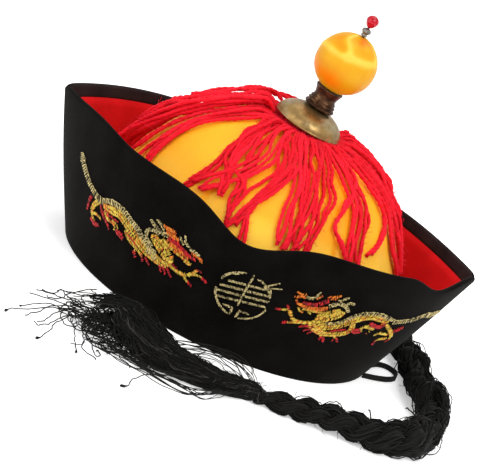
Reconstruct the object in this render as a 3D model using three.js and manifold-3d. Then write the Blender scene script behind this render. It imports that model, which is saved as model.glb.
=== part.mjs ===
// A costume hat in the style of a Chinese emperor's court hat, in millimetres, +Z up.
// The origin is at the middle of the rim's flat bottom. The front faces -Y, and +X points to the right peak.
import * as THREE from "three";
import { mergeVertices } from "three/addons/utils/BufferGeometryUtils.js";
import Module from "manifold-3d";

const wasm = await Module();
wasm.setup();

// Clear space between two pieces that touch on the real hat
const GAP = 0.3;

// Brim: a round bottom edge, and a top edge that is pointed at the two side seams
const BRIM = {
  bottomRadius: 95.4,
  topHalfWidth: 130,
  topHalfDepth: 93.5,
  topFullness: 3,
  height: 75.3,
  wall: 2.2,
  facing: 3.4,
  facingDepth: 7,
  edgeRound: 0.7,
  bulge: 1.2,
  bendShares: [0.35, 0.7],
};
// The angles of the panel's sections: even steps, then wider ones near the seams
const SECTIONS = { step: 5, evenTo: 70, near: 79.5, seam: 90 };
// The soft dip of the top edge at the middle of each panel
const DIP = { depth: 14.3, halfWidth: 26, offset: -5 };
// Where else the front panel's top edge droops or rises
const FRONT_DROOPS = [
  { x: 108, halfWidth: 21, drop: 6.5 },
  { x: -104, halfWidth: 25, drop: -2.4 },
];
const LINING = { thickness: 1, bottom: 9 };

// Crown: a satin dome of gores, sewn to the brim by its hem
const CROWN = {
  radius: 90.2,
  shoulder: 28,
  top: 110,
  roundness: 1.6,
  fullness: 2.6,
  lean: 3,
  leanHeight: 60,
  wall: 1.5,
  hemRadius: 92.9,
  hemTop: 4,
  hemEnd: 8,
  bottom: 0.4,
  gores: 6,
  sidesPerGore: 8,
  firstSeam: 30,
  seamDepth: 0.9,
  seamSharpness: 3,
  seamShareOfRadius: 0.02,
};

// Finial: stacked on one axis that leans to the right
const FINIAL = { x: 3, z: 113.2, leanDegrees: 5.6 };
const CUP = { radius: 20.2, height: 11, wall: 1.2, arcSteps: 5, segments: 24 };
const BALL = { radius: 18, height: 40.4, arcSteps: 10, segments: 20 };
const BEAD = { radius: 3.6, height: 68, arcSteps: 8, segments: 14 };
const PIN = { radius: 0.7, segments: 8 };
const SPACER = { radius: 2.2, height: 4.6, segments: 14 };
const NECK = { seatRadius: 6.6, seatTop: 12.2, seatBottom: 10.2, segments: 16 };

// Fringe: locks of yarn that radiate from the pad under the finial
const FRINGE = {
  locks: 24,
  padRadius: 26,
  padEdge: 1.6,
  padHub: 1,
  padSides: 18,
  startRadius: 22.5,
  sections: 9,
  thickness: 2.6,
  thinning: 0.35,
  lift: 0.7,
  flatShare: 0.6,
};

// Braid: a plait that lies on the surface, thinner towards its tie
const BRAID = { radius: 10, tieRadius: 4.5, taper: 0.26, sides: 10, steps: 34, floorGap: 0.1 };
const TIE = { radius: 5, length: 6.5, sides: 12 };
const TASSEL = { headRadius: 6.5, headSides: 12, rootAt: 7, lockSides: 6, lockSections: 7, tipRadius: 0.8 };

const degrees = THREE.MathUtils.degToRad;

// Solids

// One closed body from rings of points: neighbouring rings are joined, and the first and the last are capped
function loft(rings, cap = null) {
  const count = rings[0].length;
  const indices = [];
  for (let i = 0; i < rings.length - 1; i += 1) {
    const a = i * count;
    const b = a + count;
    for (let j = 0; j < count; j += 1) {
      const k = (j + 1) % count;
      indices.push(a + j, a + k, b + k, a + j, b + k, b + j);
    }
  }
  const faces = cap ?? Array.from({ length: count - 2 }, (_, j) => [0, j + 1, j + 2]);
  const last = (rings.length - 1) * count;
  for (const [p, q, r] of faces) {
    indices.push(p, r, q, last + p, last + q, last + r);
  }
  return facingOut(rings.flat(), indices);
}

// A mesh's faces turned to point out, from the sign of its volume
function facingOut(points, indices) {
  let volume = 0;
  for (let i = 0; i < indices.length; i += 3) {
    const [a, b, c] = [0, 1, 2].map((k) => points[indices[i + k]]);
    volume += a.dot(b.clone().cross(c));
  }
  if (volume < 0) {
    for (let i = 0; i < indices.length; i += 3) {
      [indices[i + 1], indices[i + 2]] = [indices[i + 2], indices[i + 1]];
    }
  }
  const geometry = new THREE.BufferGeometry().setFromPoints(points);
  geometry.setIndex(indices);
  return geometry;
}

function solid(geometry) {
  const plain = geometry.clone();
  plain.deleteAttribute("normal");
  plain.deleteAttribute("uv");
  const merged = mergeVertices(plain);
  const vertProperties = new Float32Array(merged.attributes.position.array);
  const triVerts = new Uint32Array(merged.index.array);
  return new wasm.Manifold(new wasm.Mesh({ numProp: 3, vertProperties, triVerts }));
}

// Closed bodies joined into one
function fuse(geometries) {
  const joined = geometries.map(solid).reduce((a, b) => a.add(b));
  const mesh = joined.getMesh();
  const geometry = new THREE.BufferGeometry();
  geometry.setAttribute("position", new THREE.BufferAttribute(new Float32Array(mesh.vertProperties), 3));
  geometry.setIndex(new THREE.BufferAttribute(new Uint32Array(mesh.triVerts), 1));
  return geometry;
}

function lathe(profile, segments) {
  const geometry = new THREE.LatheGeometry(profile.map(([r, z]) => new THREE.Vector2(r, z)), segments);
  return geometry.rotateX(Math.PI / 2);
}

// A ball's profile on the axis
function ballProfile({ radius, height, arcSteps }) {
  return Array.from({ length: arcSteps + 1 }, (_, i) => {
    const turn = Math.PI * (i / arcSteps - 0.5);
    const onAxis = i === 0 || i === arcSteps;
    return [onAxis ? 0 : radius * Math.cos(turn), height + radius * Math.sin(turn)];
  });
}

function piece(name, geometry, color, roughness, metalness = 0) {
  const mesh = new THREE.Mesh(geometry, new THREE.MeshStandardMaterial({ color, roughness, metalness }));
  mesh.name = name;
  return mesh;
}

// Brim. An angle runs along a panel, from the left seam to the right one.

// The height of a panel's top edge at an angle
function edgeHeight(angle, droops) {
  const x = BRIM.topHalfWidth * Math.sin(degrees(angle));
  let height = BRIM.height - DIP.depth * Math.exp(-(((x - DIP.offset) / DIP.halfWidth) ** 2));
  for (const { x: middle, halfWidth, drop } of droops) {
    const off = Math.min(Math.abs(x - middle) / halfWidth, 1);
    height -= drop * Math.cos((Math.PI / 2) * off) ** 2;
  }
  return height;
}

// A point of a panel's outer face at an angle and a height, with the panel at the front
function outerFace(angle, z, droops = FRONT_DROOPS) {
  const sine = Math.sin(degrees(angle));
  const topX = BRIM.topHalfWidth * sine;
  const t = z / edgeHeight(angle, droops);
  const bottom = [BRIM.bottomRadius * sine, -BRIM.bottomRadius * Math.cos(degrees(angle))];
  const top = [topX, -BRIM.topHalfDepth * (1 - Math.abs(sine) ** BRIM.topFullness)];
  const bulge = 1 + (BRIM.bulge / BRIM.bottomRadius) * Math.sin(Math.PI * t);
  const x = (bottom[0] + (top[0] - bottom[0]) * t) * bulge;
  const y = (bottom[1] + (top[1] - bottom[1]) * t) * bulge;
  return new THREE.Vector3(x, y, z);
}

// The level direction along the panel at a point of its outer face
function alongFace(angle, z, droops = FRONT_DROOPS) {
  const step = 0.5;
  const ahead = outerFace(Math.min(angle + step, SECTIONS.seam), z, droops);
  const direction = ahead.sub(outerFace(Math.max(angle - step, -SECTIONS.seam), z, droops));
  return direction.normalize();
}

// A point of a panel, set in from its outer face. At the seams it stays in the seam's plane.
function wallPoint(angle, z, inset, droops) {
  const along = alongFace(angle, z, droops);
  const outward = new THREE.Vector3(along.y, -along.x, 0);
  const point = outerFace(angle, z, droops);
  if (Math.abs(angle) === SECTIONS.seam) {
    point.x -= inset / outward.x;
    return point;
  }
  return point.addScaledVector(outward, -inset);
}

function panelAngles() {
  const { step, evenTo, near, seam } = SECTIONS;
  const angles = [-seam, -near];
  for (let angle = -evenTo; angle <= evenTo; angle += step) {
    angles.push(angle);
  }
  return [...angles, near, seam];
}

// The panel's section as rows of height and inset: up the outer face, over the edge, down the turned-in facing
function brimSection(top) {
  const { wall, facing, facingDepth, edgeRound, bendShares } = BRIM;
  return [
    [0, 0],
    ...bendShares.map((share) => [top * share, 0]),
    [top - edgeRound, 0],
    [top, edgeRound],
    [top, facing - edgeRound],
    [top - edgeRound, facing],
    [top - facingDepth, facing],
    [top - facingDepth, wall],
    [liningMiddle(top), wall],
    [LINING.bottom, wall],
    [0, wall],
  ];
}

// The height at which the lining and the wall behind it both bend
function liningMiddle(top) {
  return (LINING.bottom + top - BRIM.facingDepth) / 2;
}

function brimPanel(droops) {
  const seamGap = GAP / 2;
  const rings = panelAngles().map((angle) => {
    return brimSection(edgeHeight(angle, droops)).map(([z, inset]) => {
      const point = wallPoint(angle, z, inset, droops);
      point.y -= seamGap;
      return point;
    });
  });
  const outline = brimSection(BRIM.height).map(([z, inset]) => new THREE.Vector2(z, inset));
  const cap = THREE.ShapeUtils.triangulateShape(outline, []);
  return loft(rings, cap);
}

// A front half turned into a back one
function mirroredBack(geometry) {
  const copy = geometry.clone().scale(1, -1, 1);
  const index = copy.index.array;
  for (let i = 0; i < index.length; i += 3) {
    [index[i + 1], index[i + 2]] = [index[i + 2], index[i + 1]];
  }
  return copy;
}

function liningHalf(droops) {
  const outside = BRIM.wall + GAP;
  const inside = outside + LINING.thickness;
  const rings = panelAngles().map((angle) => {
    const edge = edgeHeight(angle, droops);
    const top = edge - BRIM.facingDepth - GAP;
    const middle = liningMiddle(edge);
    const rows = [
      [top, outside],
      [middle, outside],
      [LINING.bottom, outside],
      [LINING.bottom, inside],
      [middle, inside],
      [top, inside],
    ];
    return rows.map(([z, inset]) => wallPoint(angle, z, inset, droops));
  });
  return loft(rings);
}

// The lining goes once round the inside of both panels, so its two halves meet at the seams
function brimLining() {
  return fuse([liningHalf(FRONT_DROOPS), mirroredBack(liningHalf([]))]);
}

// Crown

function domeRadius(z) {
  const rise = Math.min(Math.max((z - CROWN.shoulder) / (CROWN.top - CROWN.shoulder), 0), 1);
  return CROWN.radius * (1 - rise ** CROWN.roundness) ** (1 / CROWN.fullness);
}

function domeHeight(radius) {
  const fall = 1 - Math.min(radius / CROWN.radius, 1) ** CROWN.fullness;
  return CROWN.shoulder + (CROWN.top - CROWN.shoulder) * fall ** (1 / CROWN.roundness);
}

function domeLean(z) {
  return CROWN.lean * Math.min(z / CROWN.leanHeight, 1);
}

// How far a gore sinks towards its seams
function seamSink(angle) {
  const turn = ((angle - CROWN.firstSeam) * CROWN.gores) / 360;
  const fromSeam = Math.abs(turn - Math.round(turn)) * 2;
  return CROWN.seamDepth * (1 - fromSeam) ** CROWN.seamSharpness;
}

// A point of the dome. The angle is 0 at the front and grows towards +X.
function domePoint(angle, radius, z) {
  const turn = degrees(angle);
  return new THREE.Vector3(domeLean(z) + radius * Math.sin(turn), -radius * Math.cos(turn), z);
}

// One level ring of the dome, with its seams sunk on the outside above the hem
function domeRing(radius, z, sunk) {
  const sides = CROWN.gores * CROWN.sidesPerGore;
  return Array.from({ length: sides }, (_, i) => {
    const angle = CROWN.firstSeam + (i * 360) / sides;
    const sink = sunk ? Math.min(seamSink(angle), radius * CROWN.seamShareOfRadius) : 0;
    return domePoint(angle, radius - sink, z);
  });
}

function crown() {
  const hem = [
    domeRing(CROWN.hemRadius, CROWN.bottom, false),
    domeRing(CROWN.hemRadius, CROWN.hemTop, false),
    domeRing(CROWN.radius, CROWN.hemEnd, false),
  ];
  const rises = [0, 0.22, 0.4, 0.56, 0.7, 0.82, 0.92, 0.98];
  const outside = rises.map((rise) => {
    const z = CROWN.shoulder + (CROWN.top - CROWN.shoulder) * rise;
    return domeRing(domeRadius(z), z, true);
  });
  const lining = [
    { r: 30, z: 104.2 },
    { r: 56, z: 90.6 },
    { r: 74, z: 69.5 },
    { r: 84.5, z: 45 },
    { r: CROWN.radius - CROWN.wall, z: CROWN.shoulder },
    { r: CROWN.radius - CROWN.wall, z: CROWN.bottom },
  ];
  const inside = lining.map(({ r, z }) => domeRing(r, z, false));
  return dome([...hem, ...outside, ...inside], hem.length + outside.length);
}

// Joins the outer rings, up to a top point, to the inner rings, down from a top point, along the hem
function dome(rings, outerCount) {
  const sides = rings[0].length;
  const points = rings.flat();
  const indices = [];
  const join = (a, b) => {
    for (let i = 0; i < sides; i += 1) {
      const j = (i + 1) % sides;
      indices.push(a * sides + i, a * sides + j, b * sides + j);
      indices.push(a * sides + i, b * sides + j, b * sides + i);
    }
  };
  const close = (ring, z, up) => {
    const top = points.push(new THREE.Vector3(domeLean(z), 0, z)) - 1;
    for (let i = 0; i < sides; i += 1) {
      const j = (i + 1) % sides;
      const pair = up ? [i, j] : [j, i];
      indices.push(ring * sides + pair[0], ring * sides + pair[1], top);
    }
  };
  for (let r = 0; r < rings.length - 1; r += 1) {
    if (r !== outerCount - 1) {
      join(r, r + 1);
    }
  }
  join(rings.length - 1, 0);
  close(outerCount - 1, CROWN.top, true);
  close(outerCount, CROWN.top - CROWN.wall, false);
  return facingOut(points, indices);
}

// Fringe

// The height of the plane of the cup's rim, which leans with the finial
function rimPlane(x) {
  return FINIAL.z - (x - FINIAL.x) * Math.tan(degrees(FINIAL.leanDegrees));
}

// The pad of yarn between the crown's top and the finial cup
function fringePad() {
  const { padRadius, padEdge, padHub, padSides, lift } = FRINGE;
  const ring = (radius, heightAt) =>
    Array.from({ length: padSides }, (_, i) => {
      const point = domePoint((i * 360) / padSides, radius, CROWN.top);
      point.z = heightAt(point);
      return point;
    });
  const under = (radius) => ring(radius, () => domeHeight(radius) + lift);
  const over = (radius) => ring(radius, (point) => rimPlane(point.x) - GAP);
  const edge = ring(padRadius, () => domeHeight(padRadius) + lift + padEdge);
  const cupRim = CUP.radius + padHub;
  const bottom = [padHub, cupRim / 2, cupRim, padRadius].map(under);
  return loft([...bottom, edge, over(cupRim), over(padHub)]);
}

// A lock: where it ends, how far it swings aside on its way, and its width
function lockPlan(i) {
  const reach = [80, 86, 76, 84, 70, 87, 79, 64];
  const width = [9, 7, 8, 10, 7, 8, 9, 6.5];
  const swing = [6, -5, 9, -8, 3, -3, 7, -10];
  const stride = 3;
  const kind = (i * stride + Math.floor(i / reach.length)) % reach.length;
  return { reach: reach[kind], width: width[kind], swing: swing[i % swing.length] };
}

// A lock is narrow at its root, widest before its middle, and narrower again at its end
function lockHalfWidth(width, t) {
  const shape = { root: 0.45, belly: 0.75, early: 0.12, fall: 0.62, end: 0.25 };
  const swell = Math.sin(Math.PI * Math.min(t * shape.fall + shape.early, 1));
  return (width / 2) * (shape.root + shape.belly * swell - shape.end * t);
}

// Equal turns are about equal steps down over the dome
function turnAt(radius) {
  return Math.asin((radius / CROWN.radius) ** (CROWN.fullness / 2));
}

function radiusAt(turn) {
  return CROWN.radius * Math.sin(turn) ** (2 / CROWN.fullness);
}

function fringeLock(i) {
  const { reach, swing, width } = lockPlan(i);
  const start = (i * 360) / FRINGE.locks;
  const sections = [];
  for (let s = 0; s < FRINGE.sections; s += 1) {
    const t = s / (FRINGE.sections - 1);
    const radius = radiusAt(THREE.MathUtils.lerp(turnAt(FRINGE.startRadius), turnAt(reach), t));
    const angle = start + swing * t * t;
    const spread = THREE.MathUtils.radToDeg(lockHalfWidth(width, t) / radius);
    const low = FRINGE.lift;
    const high = low + FRINGE.thickness * (1 - FRINGE.thinning * t);
    sections.push([
      fringePoint(angle - spread, radius, low),
      fringePoint(angle - spread * FRINGE.flatShare, radius, high),
      fringePoint(angle + spread * FRINGE.flatShare, radius, high),
      fringePoint(angle + spread, radius, low),
    ]);
  }
  return loft(sections);
}

// A point above the dome's surface, along its normal
function fringePoint(angle, radius, height) {
  const step = 0.2;
  const slope = (domeHeight(radius + step) - domeHeight(radius - step)) / (2 * step);
  const length = Math.hypot(slope, 1);
  const out = radius - (height * slope) / length;
  const z = domeHeight(radius);
  const point = domePoint(angle, out, z);
  point.z += height / length;
  return point;
}

function fringe() {
  const locks = Array.from({ length: FRINGE.locks }, (_, i) => fringeLock(i));
  return fuse([fringePad(), ...locks]);
}

// Finial, each piece in the finial's own frame, from the plane of the cup's rim up

function finialCup() {
  const { radius, height, wall, arcSteps, segments } = CUP;
  const arc = (wide, tall) =>
    Array.from({ length: arcSteps + 1 }, (_, i) => {
      const turn = ((i / arcSteps) * Math.PI) / 2;
      return [i === arcSteps ? 0 : wide * Math.cos(turn), tall * Math.sin(turn)];
    });
  return lathe([...arc(radius - wall, height - wall).reverse(), ...arc(radius, height)], segments);
}

function finialNeck() {
  const rows = [
    { r: 0, z: 0 },
    { r: 8.6, z: 0 },
    { r: 8.9, z: 1.6 },
    { r: 7.2, z: 2.6 },
    { r: 7.9, z: 3.8 },
    { r: 6.6, z: 4.9 },
    { r: 6.6, z: 6.2 },
    { r: 7.4, z: 8.6 },
    { r: 8.2, z: 11.6 },
    { r: 7.6, z: 12.4 },
    { r: NECK.seatRadius, z: NECK.seatTop },
    { r: 0, z: NECK.seatBottom },
  ];
  const base = CUP.height + GAP;
  return lathe(rows.map(({ r, z }) => [r, base + z]), NECK.segments);
}

function finialBall() {
  return lathe(ballProfile(BALL), BALL.segments);
}

function finialPin() {
  const low = BALL.height + BALL.radius + GAP;
  const high = BEAD.height - BEAD.radius - GAP;
  return lathe([[0, low], [PIN.radius, low], [PIN.radius, high], [0, high]], PIN.segments);
}

function finialSpacer() {
  const low = BALL.height + BALL.radius + GAP * 2;
  const high = low + SPACER.height;
  const edge = SPACER.height / 3;
  const bore = PIN.radius + GAP;
  const outside = [[bore, low], [SPACER.radius, low + edge], [SPACER.radius, high - edge], [bore, high]];
  return lathe([...outside, [bore, low]], SPACER.segments);
}

function finialBead() {
  return lathe(ballProfile(BEAD), BEAD.segments);
}

// Embroidery: raised strokes that follow the front panel's face

const STITCH = { low: 0.35, high: 1.1, flatShare: 0.6 };

// One stroke through rows of angle along the panel, height, and half width
function stroke(rows) {
  const middle = rows.map(([angle, z]) => outerFace(angle, z));
  const rings = rows.map(([angle, z, half], i) => {
    const along = alongFace(angle, z);
    const up = outerFace(angle, z + 1).sub(outerFace(angle, z - 1)).normalize();
    const outward = along.clone().cross(up).normalize();
    const ahead = middle[Math.min(i + 1, rows.length - 1)];
    const forward = ahead.clone().sub(middle[Math.max(i - 1, 0)]).normalize();
    const aside = forward.clone().cross(outward).normalize();
    const at = (side, height) => middle[i].clone().addScaledVector(aside, side * half).addScaledVector(outward, height);
    const { low, high, flatShare } = STITCH;
    return [at(-1, low), at(-flatShare, high), at(flatShare, high), at(1, low)];
  });
  return loft(rings);
}

// The dragon on the +X side, from the rows of its strokes: angle, height and half width
const DRAGON = [
  { part: "tail", rows: [[62, 52, 0.4], [57.5, 47.5, 0.9], [52.5, 43, 1.5], [47, 39.6, 2.4], [41, 38.6, 3]] },
  { part: "back", rows: [[43, 38.8, 2.7], [36, 37, 3.2], [30, 33.8, 3.4], [25, 31.8, 3.2], [20.5, 33, 2.8]] },
  { part: "neck", rows: [[21.5, 32, 2.4], [19.6, 37, 2.8], [23.4, 40.6, 2.6], [27.4, 43.4, 2.2], [26, 47.4, 2]] },
  { part: "head", rows: [[27, 46.6, 1.6], [23, 46.6, 3], [18.6, 45.2, 3.4], [13.4, 43.4, 1.6]] },
  { part: "horn", rows: [[25, 48, 1.2], [28.8, 50.6, 0.5]] },
  { part: "nose_horn", rows: [[18.6, 47, 1.2], [17.4, 51.4, 0.5]] },
  { part: "fore_claw", rows: [[20.5, 35, 2], [15.4, 35.6, 1.5], [11.6, 37, 1.1], [8.6, 34.4, 0.5]] },
  { part: "fore_leg", rows: [[21.4, 33, 2], [16, 30.8, 1.5], [12, 28.8, 0.6]] },
  { part: "belly_leg", rows: [[30, 33, 2], [30.4, 28.6, 1.4], [31.4, 24.8, 0.6]] },
  { part: "middle_leg", rows: [[39, 37.6, 2], [38.8, 33, 1.3], [37.2, 29.6, 0.6]] },
  { part: "hind_leg", rows: [[47, 38.8, 2.2], [46.4, 33, 1.7], [43, 28.6, 0.7]] },
  { part: "hind_claw", rows: [[47.6, 38.6, 2], [50, 32, 1.3], [48.4, 26, 0.6]] },
];

// The two dragons face the roundel. Each is sewn on a little differently.
function dragon({ side, stretch, shift, rise }) {
  const placed = ([angle, z, half]) => [side * (angle * stretch + shift), z + rise, half];
  return fuse(DRAGON.map(({ rows }) => stroke(rows.map(placed))));
}

const ROUNDEL = {
  angle: 2,
  z: 35.4,
  radius: 12.2,
  band: 0.9,
  bar: 0.75,
  bars: 4,
  barSpread: 0.6,
  arcSteps: 8,
  arcOverlap: 5,
  degreesPerMm: 0.6,
};

// A round fret ornament: a ring of two half arcs, a stem, and level bars that end at the ring
function roundel() {
  const { angle, z, radius, band, bar, bars, barSpread, arcSteps, arcOverlap, degreesPerMm } = ROUNDEL;
  const at = (x, y, half) => [angle + x * degreesPerMm, z + y, half];
  const halfRing = (middle) =>
    Array.from({ length: arcSteps + 1 }, (_, i) => {
      const turn = degrees(middle + (90 + arcOverlap) * (2 * (i / arcSteps) - 1));
      return at(radius * Math.cos(turn), radius * Math.sin(turn), band);
    });
  const strokes = [halfRing(0), halfRing(180), [at(0, radius, bar), at(0, 0, bar), at(0, -radius, bar)]];
  for (let i = 0; i < bars; i += 1) {
    const y = radius * barSpread * (2 * (i / (bars - 1)) - 1);
    const half = Math.sqrt(radius * radius - y * y);
    strokes.push([at(-half, y, bar), at(0, y, bar), at(half, y, bar)]);
  }
  return fuse(strokes.map(stroke));
}

// Ribbon loop: a narrow tape on its edge, from the brim out over the surface and back
function ribbonLoop() {
  const plan = [
    { x: 96.4, y: -7 },
    { x: 102, y: 1.5 },
    { x: 108, y: 4.5 },
    { x: 113, y: 1 },
    { x: 113.4, y: -7 },
    { x: 108.6, y: -15.5 },
    { x: 101, y: -22.5 },
    { x: 92.2, y: -28.4 },
  ];
  const tape = { width: 2.6, thickness: 0.9, steps: 16 };
  const height = tape.width / 2 + BRAID.floorGap;
  const path = new THREE.CatmullRomCurve3(plan.map(({ x, y }) => new THREE.Vector3(x, y, height)));
  const [w, t] = [tape.width / 2, tape.thickness / 2];
  const corners = [[-w, -t], [w, -t], [w, t], [-w, t]];
  const section = new THREE.Shape(corners.map(([x, y]) => new THREE.Vector2(x, y)));
  return new THREE.ExtrudeGeometry(section, { steps: tape.steps, extrudePath: path, bevelEnabled: false });
}

// Braid. The route lies on the surface, from the brim's back round the right side to the front.
const ROUTE = [
  { x: 0, y: 97.6 },
  { x: 1.6, y: 107 },
  { x: 7, y: 117 },
  { x: 16, y: 125.5 },
  { x: 28, y: 131 },
  { x: 42, y: 132.5 },
  { x: 57, y: 130 },
  { x: 71, y: 124 },
  { x: 84, y: 115 },
  { x: 95, y: 102 },
  { x: 103, y: 87 },
  { x: 109.5, y: 70 },
  { x: 114.5, y: 50 },
  { x: 118.6, y: 28 },
  { x: 122.6, y: 4 },
  { x: 126, y: -20 },
  { x: 129.6, y: -42 },
  { x: 131.3, y: -62 },
  { x: 129.8, y: -84 },
  { x: 125, y: -103 },
  { x: 116, y: -117.5 },
  { x: 104, y: -126.8 },
  { x: 90, y: -131.6 },
  { x: 74, y: -133.3 },
  { x: 60, y: -134.6 },
  { x: 47, y: -136.2 },
  { x: 36, y: -137.6 },
  { x: 28, y: -138.4 },
];

// The braid's radius along its length, from 0 at the brim to 1 at the tie
function braidRadius(t) {
  const fromTie = THREE.MathUtils.clamp((1 - t) / BRAID.taper, 0, 1);
  return BRAID.tieRadius + (BRAID.radius - BRAID.tieRadius) * Math.sin((Math.PI / 2) * fromTie);
}

function braidPath() {
  const flat = new THREE.CatmullRomCurve3(ROUTE.map(({ x, y }) => new THREE.Vector3(x, y, 0)));
  const lengths = flat.getLengths(ROUTE.length - 1);
  const points = ROUTE.map(({ x, y }, i) => {
    const t = lengths[i] / lengths[ROUTE.length - 1];
    return new THREE.Vector3(x, y, braidRadius(t) + BRAID.floorGap);
  });
  return new THREE.CatmullRomCurve3(points);
}

// A tube along the path whose rings then shrink towards the tie
function braid() {
  const path = braidPath();
  const corners = Array.from({ length: BRAID.sides }, (_, i) => {
    const turn = (i / BRAID.sides) * Math.PI * 2;
    return new THREE.Vector2(BRAID.radius * Math.cos(turn), BRAID.radius * Math.sin(turn));
  });
  const options = { steps: BRAID.steps, extrudePath: path, bevelEnabled: false };
  const geometry = new THREE.ExtrudeGeometry(new THREE.Shape(corners), options);
  const centres = path.getSpacedPoints(BRAID.steps);
  const position = geometry.attributes.position;
  const vertex = new THREE.Vector3();
  for (let i = 0; i < position.count; i += 1) {
    vertex.fromBufferAttribute(position, i);
    const distances = centres.map((centre) => centre.distanceToSquared(vertex));
    const nearest = distances.indexOf(Math.min(...distances));
    const centre = centres[nearest];
    vertex.sub(centre).multiplyScalar(braidRadius(nearest / BRAID.steps) / BRAID.radius).add(centre);
    position.setXYZ(i, vertex.x, vertex.y, vertex.z);
  }
  return geometry;
}

// The braid's end and the direction in which it goes on into its tie and tassel
function braidEnd() {
  const path = braidPath();
  return { point: path.getPoint(1), forward: path.getTangent(1).setZ(0).normalize() };
}

// A round section across a direction that lies level
function roundSection(centre, forward, radius, sides) {
  const aside = new THREE.Vector3(-forward.y, forward.x, 0).normalize();
  return Array.from({ length: sides }, (_, i) => {
    const turn = (i / sides) * Math.PI * 2 - Math.PI / 2;
    const point = centre.clone().addScaledVector(aside, radius * Math.cos(turn));
    point.z += radius * Math.sin(turn);
    return point;
  });
}

function braidTie() {
  const { point, forward } = braidEnd();
  const rows = [
    { along: 0, share: 0.86 },
    { along: 0.2, share: 1 },
    { along: 0.8, share: 1 },
    { along: 1, share: 0.86 },
  ];
  const rings = rows.map(({ along, share }) => {
    const centre = point.clone().addScaledVector(forward, GAP + along * TIE.length);
    centre.z = TIE.radius + BRAID.floorGap;
    return roundSection(centre, forward, TIE.radius * share, TIE.sides);
  });
  return loft(rings);
}

// The tassel's locks: where each ends, its greatest radius, and how high it arches
const TASSEL_LOCKS = [
  { x: -46, y: -108, radius: 5, arch: 11 },
  { x: -58, y: -118, radius: 6.5, arch: 12 },
  { x: -86, y: -124, radius: 4, arch: 8 },
  { x: -62, y: -130, radius: 7.5, arch: 13 },
  { x: -92, y: -146, radius: 4.5, arch: 7 },
  { x: -60, y: -144, radius: 7, arch: 11 },
  { x: -100, y: -164, radius: 3.5, arch: 5 },
  { x: -50, y: -156, radius: 6, arch: 8 },
  { x: -80, y: -180, radius: 3.5, arch: 4 },
];
// Where the locks bow to before they part
const TASSEL_BOW = { x: -20, y: -148, spread: 0.3 };

// A lock's radius grows quickly from the head and falls slowly to the tip
function tasselLockRadius(radius, t) {
  const shape = { start: 0.16, fullness: 0.8 };
  const swell = Math.sin(Math.PI * (shape.start + (1 - shape.start) * t));
  return Math.max(radius * Math.max(swell, 0) ** shape.fullness, TASSEL.tipRadius);
}

function tasselLock({ x, y, radius, arch }, head) {
  const tip = new THREE.Vector3(x, y, head.z);
  const bow = new THREE.Vector3(TASSEL_BOW.x, TASSEL_BOW.y + TASSEL_BOW.spread * (y - head.y), head.z);
  const path = new THREE.QuadraticBezierCurve3(head, bow, tip);
  const rings = [];
  for (let s = 0; s < TASSEL.lockSections; s += 1) {
    const t = s / (TASSEL.lockSections - 1);
    const girth = tasselLockRadius(radius, t);
    const lift = Math.max(arch - 2 * girth, 0) * Math.sin(Math.PI * t);
    const centre = path.getPoint(t).setZ(girth + BRAID.floorGap + lift);
    rings.push(roundSection(centre, path.getTangent(t), girth, TASSEL.lockSides));
  }
  return loft(rings);
}

function tassel() {
  const { point, forward } = braidEnd();
  const start = point.clone().addScaledVector(forward, TIE.length + GAP * 2);
  start.z = TASSEL.headRadius + BRAID.floorGap;
  const rows = [
    { along: 0, share: 0.62 },
    { along: 3, share: 0.86 },
    { along: 8, share: 1 },
    { along: 14, share: 0.8 },
  ];
  const headRings = rows.map(({ along, share }) => {
    const centre = start.clone().addScaledVector(forward, along);
    return roundSection(centre, forward, TASSEL.headRadius * share, TASSEL.headSides);
  });
  const root = start.clone().addScaledVector(forward, TASSEL.rootAt);
  return fuse([loft(headRings), ...TASSEL_LOCKS.map((lock) => tasselLock(lock, root))]);
}

// The hat
const hat = new THREE.Group();
const velvet = ["#141212", 0.95];
hat.add(piece("brim_front", brimPanel(FRONT_DROOPS), ...velvet));
hat.add(piece("brim_back", mirroredBack(brimPanel([])), ...velvet));
hat.add(piece("brim_lining", brimLining(), "#b9161b", 0.8));
hat.add(piece("crown", crown(), "#f5b52c", 0.45));
hat.add(piece("fringe", fringe(), "#de1028", 0.85));

const leftDragon = dragon({ side: -1, stretch: 1, shift: 0, rise: 0 });
const rightDragon = dragon({ side: 1, stretch: 1.08, shift: 2, rise: 4 });
hat.add(piece("dragon_left", leftDragon, "#c9a13c", 0.5));
hat.add(piece("dragon_right", rightDragon, "#c9a13c", 0.5));
hat.add(piece("roundel", roundel(), "#b8a86a", 0.45, 0.3));
hat.add(piece("ribbon_loop", ribbonLoop(), "#131212", 0.7));

const finial = new THREE.Group();
finial.position.set(FINIAL.x, 0, FINIAL.z);
finial.rotation.y = degrees(FINIAL.leanDegrees);
finial.add(piece("finial_cup", finialCup(), "#8f7a4b", 0.45, 0.9));
finial.add(piece("finial_neck", finialNeck(), "#5b3c1c", 0.5, 0.7));
finial.add(piece("finial_ball", finialBall(), "#f6ab2b", 0.4));
finial.add(piece("finial_pin", finialPin(), "#9a9a9a", 0.35, 0.9));
finial.add(piece("finial_spacer", finialSpacer(), "#9a9a9a", 0.35, 0.9));
finial.add(piece("finial_bead", finialBead(), "#c4101e", 0.15));
hat.add(finial);

hat.add(piece("braid", braid(), "#171616", 0.8));
hat.add(piece("braid_tie", braidTie(), "#171616", 0.8));
hat.add(piece("tassel", tassel(), "#171616", 0.8));

export default hat;
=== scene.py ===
import math

import bpy
import numpy as np
from mathutils import Matrix, Vector


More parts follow.
